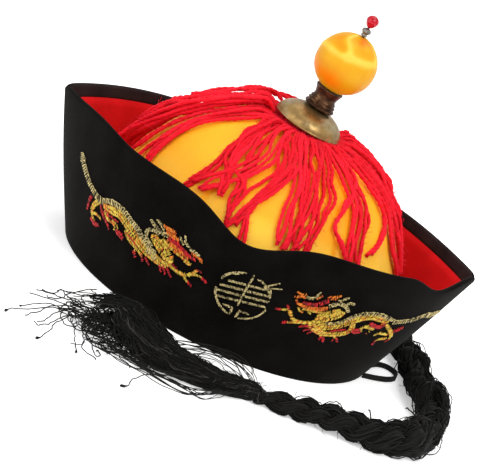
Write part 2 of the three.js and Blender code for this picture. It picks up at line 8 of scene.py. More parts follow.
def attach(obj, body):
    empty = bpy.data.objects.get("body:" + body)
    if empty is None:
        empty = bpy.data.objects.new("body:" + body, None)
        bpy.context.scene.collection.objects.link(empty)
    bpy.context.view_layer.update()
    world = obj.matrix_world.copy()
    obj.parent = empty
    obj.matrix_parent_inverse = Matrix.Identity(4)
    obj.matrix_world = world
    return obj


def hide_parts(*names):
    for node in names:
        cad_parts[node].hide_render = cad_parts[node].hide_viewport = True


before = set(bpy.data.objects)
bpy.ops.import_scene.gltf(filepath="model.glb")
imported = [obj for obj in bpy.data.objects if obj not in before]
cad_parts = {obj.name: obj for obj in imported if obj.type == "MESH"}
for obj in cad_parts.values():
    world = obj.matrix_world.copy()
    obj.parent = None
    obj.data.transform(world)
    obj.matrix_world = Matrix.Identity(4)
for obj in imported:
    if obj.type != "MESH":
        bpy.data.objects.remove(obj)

# A costume court hat: satin dome, velvet band with embroidery, yarn fringe, ball finial and a yarn braid.
# Sizes are in metres and angles in degrees. A point's angle is 0 at the front and grows towards +X.
MILLIMETRE = 0.001
FULL_TURN = 2 * math.pi
FINE_HAIR = 0.00013

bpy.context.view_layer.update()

# The camera, at the photo's angle to the hat
PHOTO = {"width": 483, "focal": 2113, "sensor": 36.0}
CAMERA = {"azimuth": -5.0, "elevation": 15.0, "roll": 26.5, "distance": 1.2, "target": (0.0, 0.0, 0.060)}
# Where the lens axis meets the picture, and the picture's own middle, in pixels
LENS_AXIS = (262.3, 203.7)
PICTURE_MIDDLE = (241.5, 232.5)

# Brim: a round bottom edge, and a top edge that is pointed at the two side seams
BOTTOM_RADIUS = 0.0954
TOP_HALF_WIDTH = 0.130
TOP_HALF_DEPTH = 0.0935
TOP_FULLNESS = 3
BRIM_HEIGHT = 0.0753
WALL = 0.0022
FACING = 0.0034
FACING_DEPTH = 0.007
BULGE = 0.0012
SEAM_GAP = 0.00001
DIP = {"depth": 0.0143, "half_width": 0.026, "offset": -0.005}
FRONT_DROOPS = [
    {"x": 0.108, "half_width": 0.021, "drop": 0.0065},
    {"x": -0.104, "half_width": 0.025, "drop": -0.0024},
]
LINING = {"gap": 0.0003, "thickness": 0.001, "bottom": 0.009, "rows": 14, "columns": 130, "pucker": 0.00022}

# Crown
CROWN_RADIUS = 0.0902
SHOULDER = 0.028
CROWN_TOP = 0.110
ROUNDNESS = 1.6
FULLNESS = 2.6
LEAN = 0.003
LEAN_HEIGHT = 0.060
CROWN_WALL = 0.0015
# The hem spreads to the band at its lower edge, where the two are sewn together
HEM = {"radius": 0.0929, "sewn_radius": 0.0937, "top": 0.004, "end": 0.008, "bottom": 0.0004}
GORES = 6
FIRST_SEAM = 30

# Finial: stacked on one axis that leans to the right
FINIAL_AT = (0.003, 0.0, 0.1132)
FINIAL_LEAN = 5.6
CUP_RADIUS = 0.0202
CUP_HEIGHT = 0.011
CUP_WALL = 0.0012
BALL_RADIUS = 0.018
BALL_HEIGHT = 0.0404
BEAD_RADIUS = 0.0036
BEAD_HEIGHT = 0.068

# Braid: its route over the surface it lies on, from the back of the brim to its tie
ROUTE = [
    (0.0000, 0.0976), (0.0016, 0.1070), (0.0070, 0.1170), (0.0160, 0.1255), (0.0280, 0.1310), (0.0420, 0.1325),
    (0.0570, 0.1300), (0.0710, 0.1240), (0.0840, 0.1150), (0.0950, 0.1020), (0.1030, 0.0870), (0.1095, 0.0700),
    (0.1145, 0.0500), (0.1186, 0.0280), (0.1226, 0.0040), (0.1260, -0.0200), (0.1296, -0.0420),
    (0.1313, -0.0620), (0.1298, -0.0840), (0.1250, -0.1030), (0.1160, -0.1175), (0.1040, -0.1268),
    (0.0900, -0.1316), (0.0740, -0.1333), (0.0600, -0.1346), (0.0470, -0.1362), (0.0360, -0.1376),
    (0.0280, -0.1384),
]
BRAID = {
    "radius": 0.010, "tie_radius": 0.0045, "taper": 0.26, "floor_gap": 0.0001, "pitch": 0.046, "steps": 250,
    "width": 0.0195,
}


# Meshes


# A length too short to divide by, and a radius that counts as on the axis
TINY = 1e-12
ON_AXIS = 1e-7
# Steps of a smooth curve between two of its points
SPLINE_STEPS = 24
# A path steeper than this starts its frame from the x axis
STEEP = 0.8


def table(columns, *rows):
    """Rows with named columns."""
    return [dict(zip(columns.split(), row)) for row in rows]


def mesh_piece(name, points, faces, materials, smooth=True, uv=None, tones=None, slots=None):
    """A mesh object. uv and tones have one row for each point, slots one for each face."""
    mesh = bpy.data.meshes.new(name)
    mesh.from_pydata(np.asarray(points, float).tolist(), [], faces)
    mesh.update()
    for one in materials:
        mesh.materials.append(one)
    corners = np.zeros(len(mesh.loops), np.int32)
    mesh.loops.foreach_get("vertex_index", corners)
    if uv is not None:
        layer = mesh.uv_layers.new(name="cloth")
        layer.data.foreach_set("uv", np.asarray(uv, np.float32)[corners].ravel())
    if tones is not None:
        layer = mesh.attributes.new("tone", "FLOAT", "POINT")
        layer.data.foreach_set("value", np.asarray(tones, np.float32).ravel())
    if slots is not None:
        mesh.polygons.foreach_set("material_index", np.asarray(slots, np.int32))
    mesh.polygons.foreach_set("use_smooth", np.full(len(mesh.polygons), smooth))
    piece = bpy.data.objects.new(name, mesh)
    bpy.context.scene.collection.objects.link(piece)
    return piece


def grid_faces(rows, columns, closed_rows=False, closed_columns=False):
    """Quads of a grid of points stored row by row."""
    row = np.arange(rows if closed_rows else rows - 1)
    column = np.arange(columns if closed_columns else columns - 1)
    r, c = np.meshgrid(row, column, indexing="ij")
    r2, c2 = (r + 1) % rows, (c + 1) % columns
    quads = np.stack([r * columns + c, r * columns + c2, r2 * columns + c2, r2 * columns + c], -1)
    return quads.reshape(-1, 4).tolist()


def closed_grid(rows, columns):
    """Quads of closed rings, with a face at both ends."""
    ends = [list(range(columns))[::-1], [(rows - 1) * columns + i for i in range(columns)]]
    return grid_faces(rows, columns, closed_columns=True) + ends


def hill(away, width):
    """1 in the middle, and almost nothing two widths away."""
    return np.exp(-((away / width) ** 2))


def degrees_from(angle, middle):
    """The turn from the middle to an angle, the shorter way round."""
    return (angle - middle + 180) % 360 - 180


def unit(vectors):
    return vectors / np.maximum(np.linalg.norm(vectors, axis=-1, keepdims=True), TINY)


def spline(points, count):
    """A smooth curve through the points, as count points at equal steps along it."""
    points = np.asarray(points, float)
    padded = np.vstack([2 * points[0] - points[1], points, 2 * points[-1] - points[-2]])
    steps = np.linspace(0, 1, SPLINE_STEPS, endpoint=False)[:, None]
    parts = []
    for a, b, c, d in zip(padded, padded[1:], padded[2:], padded[3:]):
        square, cube = steps**2, steps**3
        bend = (2 * a - 5 * b + 4 * c - d) * square + (3 * b - a - 3 * c + d) * cube
        parts.append(0.5 * (2 * b + (c - a) * steps + bend))
    return even(np.vstack(parts + [points[-1:]]), count)


def even(points, count):
    """The same line with count points at equal steps."""
    travelled = np.concatenate([[0], np.cumsum(np.linalg.norm(np.diff(points, axis=0), axis=1))])
    wanted = np.linspace(0, travelled[-1], count)
    return np.stack([np.interp(wanted, travelled, column) for column in points.T], -1)


def rows_at(rows, index):
    """Rows of a table at places between its whole numbers."""
    return np.stack([np.interp(index, np.arange(len(rows)), column) for column in rows.T], -1)


def line_length(points):
    return float(np.linalg.norm(np.diff(points, axis=0), axis=1).sum())


def moving_frames(paths):
    """Two directions across each path that turn as little as they can. paths is strands x steps x 3."""
    tangents = unit(np.gradient(paths, axis=1))
    helper = np.where(np.abs(tangents[:, 0, 2:3]) < STEEP, [[0.0, 0.0, 1.0]], [[1.0, 0.0, 0.0]])
    first = np.empty_like(paths)
    first[:, 0] = unit(np.cross(tangents[:, 0], helper))
    for i in range(1, paths.shape[1]):
        before = first[:, i - 1]
        slip = (before * tangents[:, i]).sum(-1, keepdims=True)
        first[:, i] = unit(before - slip * tangents[:, i])
    return first, np.cross(tangents, first)


def tubes(paths, radii, sides, lobes=0.0, twist=0.0):
    """Closed tubes along the paths. Lobes give the section two, as two-ply yarn has, and twist turns them."""
    paths = np.asarray(paths, float)
    count, steps = paths.shape[:2]
    first, second = moving_frames(paths)
    radii = np.broadcast_to(np.asarray(radii, float), (count, steps))
    lengths = np.linalg.norm(np.diff(paths, axis=1), axis=-1)
    travelled = np.concatenate([np.zeros((count, 1)), np.cumsum(lengths, axis=1)], axis=1)
    around = np.arange(sides) / sides * FULL_TURN
    shape = 1 - lobes * np.sin(around) ** 2
    turn = around[None, None, :] + travelled[..., None] * twist
    across = (radii[..., None] * shape)[..., None]
    rings = paths[:, :, None] + across * (
        np.cos(turn)[..., None] * first[:, :, None] + np.sin(turn)[..., None] * second[:, :, None]
    )
    points = rings.reshape(-1, 3)
    ring_faces = np.array(grid_faces(steps, sides, closed_columns=True))
    faces = (ring_faces[None] + (np.arange(count) * steps * sides)[:, None, None]).reshape(-1, 4).tolist()
    for k in range(count):
        start = k * steps * sides
        end = start + (steps - 1) * sides
        faces.append([start + sides - 1 - i for i in range(sides)])
        faces.append([end + i for i in range(sides)])
    uv = np.empty((count, steps, sides, 2))
    uv[..., 0] = travelled[..., None]
    uv[..., 1] = np.arange(sides) / sides
    return points, faces, uv.reshape(-1, 2)


def lathe(rows, segments):
    """A closed body turned about Z, from rows of radius and height. Rows of radius 0 become single points."""
    points, rings = [], []
    for radius, height in rows:
        if radius < ON_AXIS:
            rings.append([len(points)])
            points.append((0.0, 0.0, height))
            continue
        turn = np.arange(segments) / segments * FULL_TURN
        rings.append(list(range(len(points), len(points) + segments)))
        points.extend(zip(radius * np.sin(turn), -radius * np.cos(turn), [height] * segments))
    faces = []
    for low, high in zip(rings, rings[1:]):
        for i in range(segments):
            j = (i + 1) % segments
            if len(low) == 1 and len(high) > 1:
                faces.append([low[0], high[j], high[i]])
            elif len(high) == 1 and len(low) > 1:
                faces.append([low[i], low[j], high[0]])
            elif len(low) > 1:
                faces.append([low[i], low[j], high[j], high[i]])
    return np.array(points), faces


# Materials


def new_material(name, **sockets):
    """A material, its node tree and its shader, with constant values for the shader's sockets."""
    made = bpy.data.materials.new(name)
    made.use_nodes = True
    shader = made.node_tree.nodes["Principled BSDF"]
    for socket, value in sockets.items():
        shader.inputs[socket.replace("_", " ")].default_value = value
    return made, made.node_tree, shader


def feed(tree, shader, **sources):
    """Links the outputs of nodes to the shader's sockets."""
    for socket, source in sources.items():
        tree.links.new(source, shader.inputs[socket.replace("_", " ")])


def add_node(tree, kind, links=None, **values):
    """A node with its own settings in values, and its inputs set or linked from links."""
    node = tree.nodes.new(kind)
    for key, value in values.items():
        setattr(node, key, value)
    for key, value in (links or {}).items():
        if isinstance(value, bpy.types.NodeSocket):
            tree.links.new(value, node.inputs[key])
        else:
            node.inputs[key].default_value = value
    return node


def noise(tree, coordinates, scale, detail=3.0, roughness=0.5):
    links = {"Vector": coordinates, "Scale": scale, "Detail": detail, "Roughness": roughness}
    return add_node(tree, "ShaderNodeTexNoise", links).outputs["Fac"]


def bands(tree, coordinates, scale, direction):
    """Even waves across a direction, as the threads of a cloth are."""
    links = {"Vector": coordinates, "Scale": scale}
    return add_node(tree, "ShaderNodeTexWave", links, bands_direction=direction).outputs["Fac"]


def opaque(colour):
    return (*colour, 1.0)


def ramp(tree, value, stops):
    """A colour ramp from (position, colour) stops."""
    node = add_node(tree, "ShaderNodeValToRGB", {"Fac": value})
    elements = node.color_ramp.elements
    while len(elements) < len(stops):
        elements.new(0.5)
    for element, (position, colour) in zip(elements, stops):
        element.position = position
        element.color = opaque(colour)
    return node.outputs["Color"]


def grey_ramp(tree, value, *stops):
    """A ramp of greys from (position, brightness) stops."""
    return ramp(tree, value, [(position, (brightness,) * 3) for position, brightness in stops])


def place(tree):
    return add_node(tree, "ShaderNodeTexCoord").outputs["Object"]


def cloth_uv(tree):
    return add_node(tree, "ShaderNodeUVMap", uv_map="cloth").outputs["UV"]


def tone(tree):
    return add_node(tree, "ShaderNodeAttribute", attribute_name="tone").outputs["Fac"]


def stretched(tree, vector, scale):
    return add_node(tree, "ShaderNodeMapping", {"Vector": vector, "Scale": scale}).outputs["Vector"]


def math_node(tree, operation, a, b):
    return add_node(tree, "ShaderNodeMath", {0: a, 1: b}, operation=operation).outputs[0]


def weighted(tree, first, first_share, second, second_share):
    """The sum of two values, each times its share."""
    first_part = math_node(tree, "MULTIPLY", first, first_share)
    return math_node(tree, "ADD", first_part, math_node(tree, "MULTIPLY", second, second_share))


# The numbers of the sockets that a mix node has for colours
MIX = {"share": 0, "first": 6, "second": 7, "result": 2}


def mix(tree, share, first, second, blend="MIX"):
    """From the first colour to the second as share goes from 0 to 1."""
    links = {MIX["share"]: share, MIX["first"]: first, MIX["second"]: second}
    return add_node(tree, "ShaderNodeMix", links, data_type="RGBA", blend_type=blend).outputs[MIX["result"]]


def multiply(tree, colour, factor):
    """A colour times a grey."""
    return mix(tree, 1.0, colour, factor, "MULTIPLY")


def bump(tree, shader, height, strength, distance, under=None):
    """A relief on the shader, over the one under it."""
    links = {"Height": height, "Strength": strength, "Distance": distance}
    if under is not None:
        links["Normal"] = under
    normal = add_node(tree, "ShaderNodeBump", links).outputs["Normal"]
    feed(tree, shader, Normal=normal)
    return normal


def velvet_material(name, dark, light):
    """Short pile, brushed in soft clouds from dark to light."""
    made, tree, shader = new_material(
        name, Roughness=0.9, Specular_IOR_Level=0.04, Sheen_Weight=0.035, Sheen_Roughness=0.45,
        Sheen_Tint=(0.62, 0.60, 0.60, 1),
    )
    where = place(tree)
    brushed = noise(tree, where, scale=55, detail=4)
    nap = noise(tree, where, scale=1600, detail=2)
    colour = ramp(tree, brushed, [(0.3, dark), (0.72, light)])
    feed(tree, shader, Base_Color=multiply(tree, colour, grey_ramp(tree, nap, (0.3, 0.6), (0.75, 1.25))))
    soft = bump(tree, shader, brushed, strength=0.25, distance=0.0008)
    bump(tree, shader, nap, strength=0.55, distance=0.00025, under=soft)
    return made


LINING_THREADS = 330.0


def lining_material():
    """Red cotton in a plain weave."""
    made, tree, shader = new_material(
        "lining", Roughness=0.85, Specular_IOR_Level=0.08, Sheen_Weight=0.02, Sheen_Roughness=0.5,
        Sheen_Tint=(1.0, 0.45, 0.42, 1),
    )
    across, along = (bands(tree, cloth_uv(tree), LINING_THREADS, direction) for direction in "XY")
    weave = math_node(tree, "MULTIPLY", across, along)
    cloudy = noise(tree, place(tree), scale=45, detail=4)
    colour = ramp(tree, cloudy, [(0.3, (0.60, 0.005, 0.007)), (0.7, (0.78, 0.008, 0.012))])
    feed(tree, shader, Base_Color=multiply(tree, colour, grey_ramp(tree, weave, (0.0, 0.80), (1.0, 1.08))))
    bump(tree, shader, weave, strength=0.35, distance=0.00015)
    return made


# The satin's tone where it has neither painted light nor painted shade
SATIN_MIDDLE = 0.35
# Strength of the satin's painted glow: the satin emits the colour of its painted shade, though it is no lamp
SATIN_PAINTED_GLOW = 0.24
SATIN_THREADS = 900.0
SATIN_SLUBS = (260.0, 1300.0, 1.0)
SILK_SHEEN = (1.0, 0.80, 0.40, 1)


def satin_material(light, deep, shade, pale):
    """Satin with a soft sheen, in clouds from light to deep.

    Its tone takes it to pale, a painted light, or to shade, a painted shade; where it takes the shade it also
    glows a little in that colour, a painted glow."""
    made, tree, shader = new_material(
        "satin", Roughness=0.48, Specular_IOR_Level=0.15, Sheen_Weight=0.02, Sheen_Roughness=0.35,
        Sheen_Tint=SILK_SHEEN, Subsurface_Weight=0.3, Subsurface_Radius=(1.0, 0.35, 0.05),
        Subsurface_Scale=0.006, Emission_Strength=SATIN_PAINTED_GLOW,
    )
    uv = cloth_uv(tree)
    clouds = noise(tree, place(tree), scale=42, detail=4, roughness=0.6)
    colour = ramp(tree, clouds, [(0.38, deep), (0.60, light)])
    # Tones above the middle paint shade, tones below it paint light
    above = math_node(tree, "SUBTRACT", tone(tree), SATIN_MIDDLE)
    deeper = math_node(tree, "MULTIPLY", above, 1 / (1 - SATIN_MIDDLE))
    paler = math_node(tree, "MULTIPLY", above, -1 / SATIN_MIDDLE)
    painted_light_and_shade = mix(tree, paler, mix(tree, deeper, colour, opaque(shade)), opaque(pale))
    threads = bands(tree, uv, SATIN_THREADS, "Y")
    slubs = noise(tree, stretched(tree, uv, SATIN_SLUBS), scale=1.0, detail=2)
    faint = grey_ramp(tree, slubs, (0.35, 0.965), (0.65, 1.02))
    feed(tree, shader, Base_Color=multiply(tree, painted_light_and_shade, faint))
    feed(tree, shader, Roughness=grey_ramp(tree, slubs, (0.2, 0.44), (0.8, 0.52)))
    # Painted glow: where the satin is painted with shade, it also emits that shade's colour
    feed(tree, shader, Emission_Color=mix(tree, deeper, opaque((0.0, 0.0, 0.0)), opaque(shade)))
    fine = bump(tree, shader, threads, strength=0.10, distance=0.00006)
    bump(tree, shader, slubs, strength=0.08, distance=0.00010, under=fine)
    return made


# How the noise that stands for a yarn's fibres is stretched: along the strand, round it
YARN_GRAIN = (420.0, 9.0, 1.0)


def spin_yarn(tree, shader, stops, tone_share, ridged):
    """Fibres that wind round the strand, a tone for each strand and fine fuzz. Ridged fibres stand out."""
    fibres = noise(tree, stretched(tree, cloth_uv(tree), YARN_GRAIN), scale=1.0)
    both = weighted(tree, fibres, 0.6, tone(tree), tone_share)
    feed(tree, shader, Base_Color=ramp(tree, both, stops))
    ridges = bump(tree, shader, fibres, strength=0.5, distance=0.0003) if ridged else None
    fuzz = noise(tree, place(tree), scale=2600, detail=2)
    bump(tree, shader, fuzz, strength=0.3, distance=0.0002, under=ridges)


def red_yarn_material():
    """The fringe's bright yarn."""
    made, tree, shader = new_material(
        "fringe_yarn", Roughness=0.75, Specular_IOR_Level=0.18, Sheen_Weight=0.08, Sheen_Roughness=0.45,
        Sheen_Tint=(1.0, 0.22, 0.26, 1), Subsurface_Weight=0.25, Subsurface_Radius=(1.0, 0.08, 0.08),
        Subsurface_Scale=0.002,
    )
    stops = [(0.25, (0.72, 0.003, 0.012)), (0.85, (1.0, 0.010, 0.032))]
    spin_yarn(tree, shader, stops, tone_share=0.55, ridged=True)
    return made


def black_yarn_material():
    """The braid's matted black yarn. A tone over 1 is for the few grey hairs, grey as a painted highlight where
    fine hairs catch the light.
    """
    made, tree, shader = new_material(
        "braid_yarn", Roughness=0.68, Specular_IOR_Level=0.10, Sheen_Weight=0.02, Sheen_Roughness=0.5
    )
    stops = [(0.2, (0.0034, 0.0032, 0.0028)), (0.82, (0.0115, 0.0110, 0.0100)), (1.0, (0.060, 0.058, 0.055))]
    spin_yarn(tree, shader, stops, tone_share=0.5, ridged=False)
    return made


BALL_THREADS = (620.0, 60.0, 1.0)


def ball_silk_material():
    """Silk whose tone runs from pale, a painted highlight where it catches the light, to deep orange low down, a
    painted shade.
    """
    made, tree, shader = new_material(
        "ball_silk", Roughness=0.42, Specular_IOR_Level=0.14, Sheen_Weight=0.01, Sheen_Roughness=0.35,
        Sheen_Tint=SILK_SHEEN,
    )
    threads = noise(tree, stretched(tree, cloth_uv(tree), BALL_THREADS), scale=1.0)
    clouds = noise(tree, place(tree), scale=95)
    spread = math_node(tree, "MULTIPLY", math_node(tree, "SUBTRACT", clouds, 0.5), 0.35)
    stops = [(0.0, (0.80, 0.52, 0.060)), (0.3, (0.69, 0.350, 0.010))]
    stops += [(0.55, (0.67, 0.28, 0.004)), (1.0, (0.80, 0.185, 0.001))]
    colour = ramp(tree, math_node(tree, "ADD", tone(tree), spread), stops)
    faint = grey_ramp(tree, threads, (0.3, 0.965), (0.7, 1.02))
    feed(tree, shader, Base_Color=multiply(tree, colour, faint))
    bump(tree, shader, threads, strength=0.04, distance=0.0001)
    return made


def thread_material(name, dark, light, metallic=0.0, roughness=0.45):
    """Embroidery thread: each stitch has its own tone, which along a metal coil carries painted glints and
    shade.
    """
    made, tree, shader = new_material(name, Roughness=roughness, Metallic=metallic, Specular_IOR_Level=0.4)
    fibres = noise(tree, place(tree), scale=3500, detail=2)
    both = weighted(tree, fibres, 0.3, tone(tree), 0.75)
    feed(tree, shader, Base_Color=ramp(tree, both, [(0.2, dark), (0.8, light)]))
    bump(tree, shader, fibres, strength=0.4, distance=0.0001)
    return made


# The grain of old metal, as shares of its patches' scale
METAL_GRAIN = {"pits": 14, "streaks": 2.5, "upright": (1.0, 1.0, 0.25)}


def worn_metal(name, base, dark, light, scale, roughness, metallic):
    """Old brass or bronze: a patina in patches, fine pits, and rougher where it is dark."""
    made, tree, shader = new_material(name, Metallic=metallic, Specular_IOR_Level=0.5)
    where = place(tree)
    patches = noise(tree, where, scale, detail=5, roughness=0.62)
    pits = noise(tree, where, scale * METAL_GRAIN["pits"])
    upright = stretched(tree, where, METAL_GRAIN["upright"])
    streaks = noise(tree, upright, scale * METAL_GRAIN["streaks"], detail=4)
    colour = ramp(tree, patches, [(0.30, dark), (0.50, base), (0.68, light)])
    feed(tree, shader, Base_Color=multiply(tree, colour, grey_ramp(tree, streaks, (0.3, 0.72), (0.7, 1.12))))
    low, high = roughness
    feed(tree, shader, Roughness=grey_ramp(tree, patches, (0.3, high), (0.7, low)))
    wavy = bump(tree, shader, streaks, strength=0.12, distance=0.0006)
    bump(tree, shader, pits, strength=0.22, distance=0.00012, under=wavy)
    return made


def glossy_bead_material():
    """Clear red glass over a cloudy heart."""
    made, tree, shader = new_material("bead_red", Roughness=0.05, Specular_IOR_Level=0.36)
    clouds = noise(tree, place(tree), scale=420, detail=2)
    feed(tree, shader, Base_Color=ramp(tree, clouds, [(0.3, (0.34, 0.0, 0.007)), (0.7, (0.50, 0.001, 0.015))]))
    return made


RIBBON_RIBS = 420.0


def ribbon_material():
    """Black tape with fine ribs across it."""
    made, tree, shader = new_material("ribbon", Roughness=0.7, Specular_IOR_Level=0.10, Sheen_Weight=0.03)
    ribs = bands(tree, cloth_uv(tree), RIBBON_RIBS, "X")
    stops = [(0.0, (0.0030, 0.0028, 0.0026)), (1.0, (0.0110, 0.0100, 0.0095))]
    feed(tree, shader, Base_Color=ramp(tree, ribs, stops))
    bump(tree, shader, ribs, strength=0.5, distance=0.0002)
    return made


VELVET = velvet_material("velvet", dark=(0.0019, 0.0016, 0.0013), light=(0.0052, 0.0045, 0.0038))
# A paler, reddish copy of the velvet for the turned-in edge: painted light and a painted red reflection of the
# lining
VELVET_FACING_PAINTED_LIGHT = velvet_material("velvet_facing_painted_light", dark=(0.0138, 0.0084, 0.0086), light=(0.0320, 0.0195, 0.0200))
LINING_CLOTH = lining_material()
SATIN = satin_material(
    light=(0.88, 0.435, 0.018), deep=(0.88, 0.395, 0.014), shade=(0.92, 0.28, 0.003), pale=(0.95, 0.70, 0.085)
)
BALL_SILK = ball_silk_material()
RED_YARN = red_yarn_material()
BLACK_YARN = black_yarn_material()
GOLD_THREAD = thread_material(
    "gold_thread", dark=(0.045, 0.033, 0.011), light=(0.76, 0.62, 0.29), metallic=0.35, roughness=0.38
)
SILVER_THREAD = thread_material(
    "silver_thread", dark=(0.045, 0.033, 0.010), light=(0.74, 0.60, 0.26), metallic=0.35, roughness=0.36
)
YELLOW_THREAD = thread_material("yellow_thread", dark=(0.36, 0.19, 0.010), light=(0.88, 0.66, 0.085))
ORANGE_THREAD = thread_material("orange_thread", dark=(0.42, 0.05, 0.004), light=(0.92, 0.27, 0.02))
RED_THREAD = thread_material("red_thread", dark=(0.12, 0.001, 0.003), light=(0.70, 0.012, 0.018))
BRASS = worn_metal(
    "cup_brass", base=(0.36, 0.225, 0.078), dark=(0.21, 0.130, 0.044), light=(0.46, 0.37, 0.21), scale=95,
    roughness=(0.26, 0.42), metallic=0.85,
)
BRONZE = worn_metal(
    "neck_bronze", base=(0.060, 0.026, 0.012), dark=(0.022, 0.010, 0.006), light=(0.18, 0.098, 0.048),
    scale=210, roughness=(0.34, 0.5), metallic=0.9,
)
STEEL = worn_metal(
    "pin_metal", base=(0.20, 0.19, 0.165), dark=(0.07, 0.065, 0.055), light=(0.36, 0.34, 0.30), scale=600,
    roughness=(0.28, 0.45), metallic=0.8,
)
BEAD_RED = glossy_bead_material()
RIBBON = ribbon_material()


# Camera


def make_camera():
    """Aims the camera so that the picture's middle looks where the photo's middle does."""
    azimuth, elevation, roll = (math.radians(CAMERA[key]) for key in ("azimuth", "elevation", "roll"))
    back = Vector(
        (math.sin(azimuth) * math.cos(elevation), -math.cos(azimuth) * math.cos(elevation), math.sin(elevation))
    )
    right = Vector((math.cos(azimuth), math.sin(azimuth), 0))
    up = back.cross(right)
    across = right * math.cos(roll) + up * math.sin(roll)
    upward = up * math.cos(roll) - right * math.sin(roll)
    eye = Vector(CAMERA["target"]) + back * CAMERA["distance"]
    aside = PICTURE_MIDDLE[0] - LENS_AXIS[0]
    down = PICTURE_MIDDLE[1] - LENS_AXIS[1]
    look = (back * PHOTO["focal"] - across * aside + upward * down).normalized()
    level = upward.cross(look).normalized()
    turn = Matrix((level, look.cross(level), look)).transposed().to_4x4()
    data = bpy.data.cameras.new("camera")
    data.sensor_width = PHOTO["sensor"]
    data.lens = PHOTO["sensor"] * PHOTO["focal"] / PHOTO["width"]
    data.clip_start = 0.01
    data.clip_end = 20
    camera = bpy.data.objects.new("camera", data)
    camera.matrix_world = Matrix.Translation(eye) @ turn
    bpy.context.scene.collection.objects.link(camera)
    bpy.context.scene.camera = camera


make_camera()


# Braid, tie and tassel


def braid_radius(along):
    """The braid's radius at shares of its length, from 0 at the brim to 1 at the tie."""
    from_tie = np.clip((1 - along) / BRAID["taper"], 0, 1)
    return BRAID["tie_radius"] + (BRAID["radius"] - BRAID["tie_radius"]) * np.sin(math.pi / 2 * from_tie)


def braid_line(count):
    """The braid's centreline: level points of the route, at a height that leaves the plait on the surface."""
    flat = spline(ROUTE, count)
    along = np.linspace(0, 1, count)
    height = braid_radius(along) * PLAIT["rise"] + BRAID["floor_gap"]
    return np.column_stack([flat, height]), along


# The plait's three strands, as shares of the braid's radius: their swing, their girth and how high they ride
PLAIT = {
    "strands": 3, "swing": 0.50, "lift": 0.34, "girth": 0.52, "rise": 0.88, "yarns": 26,
    "yarn_radius": 0.00043, "core": 0.88, "core_sides": 10, "fixed_pitch": 0.62,
}
# A strand's slack, up to a limit each way
SLACK = {"length": 7, "amount": 0.0009, "most": 0.0013}
# A yarn of the braid: how far it lies from its strand's centre, as shares of the strand's girth, how far it
# winds round the strand in radians, and how unevenly the yarns start
YARN = {"reach": 0.95, "most_reach": 1.20, "wind": (4, 12), "uneven": 0.3, "clear": 0.0002, "palest": 0.8}
# Where the plait is thinner and lies to one side of its route: the point of the route, the shift towards
# the hat in mm, and its girth
PLAIT_FORM = table(
    "point shift girth",
    (0.0, 0.0, 1.00),
    (11.6, 0.5, 0.90),
    (12.5, 1.6, 0.74),
    (13.4, -1.7, 0.88),
    (14.3, -1.4, 0.78),
    (15.0, -1.0, 0.84),
    (15.5, -2.6, 0.94),
    (16.1, -1.0, 0.95),
    (16.7, -1.6, 0.84),
    (17.4, 0.2, 0.88),
    (18.4, 2.2, 0.94),
    (19.4, 3.2, 1.00),
    (20.4, 3.0, 1.04),
    (22.0, 1.6, 1.03),
    (24.0, 0.4, 1.00),
    (27.0, 0.0, 1.00),
)


def plait_form(along):
    """The plait's shift and its girth at shares of its length."""
    steps = np.linalg.norm(np.diff(np.array(ROUTE), axis=0), axis=1)
    shares = np.concatenate([[0], np.cumsum(steps)]) / steps.sum()
    places = np.interp([row["point"] for row in PLAIT_FORM], np.arange(len(ROUTE)), shares)
    shift = np.interp(along, places, [row["shift"] for row in PLAIT_FORM])
    return shift * MILLIMETRE, np.interp(along, places, [row["girth"] for row in PLAIT_FORM])


def plait_strands(count, random):
    """The centres of the three strands, their girths and the braid's own centreline."""
    line, along = braid_line(count)
    shift, form_girth = plait_form(along)
    radius = braid_radius(along) * form_girth
    forward = unit(np.gradient(line, axis=0))
    aside = unit(np.cross(forward, [0.0, 0.0, 1.0]))
    above = np.cross(aside, forward)
    middle = line + aside * shift[:, None]
    middle[:, 2] = radius * PLAIT["rise"] + BRAID["floor_gap"]
    step = line_length(line) / (count - 1)
    fixed = PLAIT["fixed_pitch"]
    pitch = BRAID["pitch"] * (fixed + (1 - fixed) * radius / BRAID["radius"])
    phase = np.cumsum(step / pitch) * FULL_TURN + smooth_noise(random, count, length=16, amount=0.35)[0]
    strands = []
    for k in range(PLAIT["strands"]):
        turn = phase + k * FULL_TURN / PLAIT["strands"]
        sideways = PLAIT["swing"] * radius * np.sin(turn)
        upwards = PLAIT["lift"] * radius * np.sin(2 * turn)
        slack = smooth_noise(random, count, SLACK["length"], SLACK["amount"], width=3)
        slack = np.clip(slack, -SLACK["most"], SLACK["most"]).T * (radius / BRAID["radius"])[:, None]
        strands.append(middle + aside * sideways[:, None] + above * upwards[:, None] + slack)
    return np.array(strands), radius * PLAIT["girth"], line


def smooth_noise(random, count, length, amount, width=1):
    """Random waves along count steps of a strand, about length steps long."""
    knots = max(int(count / length) + 3, 4)
    values = random.normal(0, amount, (width, knots))
    where = np.linspace(0, knots - 1.001, count)
    low = where.astype(int)
    share = where - low
    ease = share * share * (3 - 2 * share)
    return values[:, low] * (1 - ease) + values[:, np.minimum(low + 1, knots - 1)] * ease


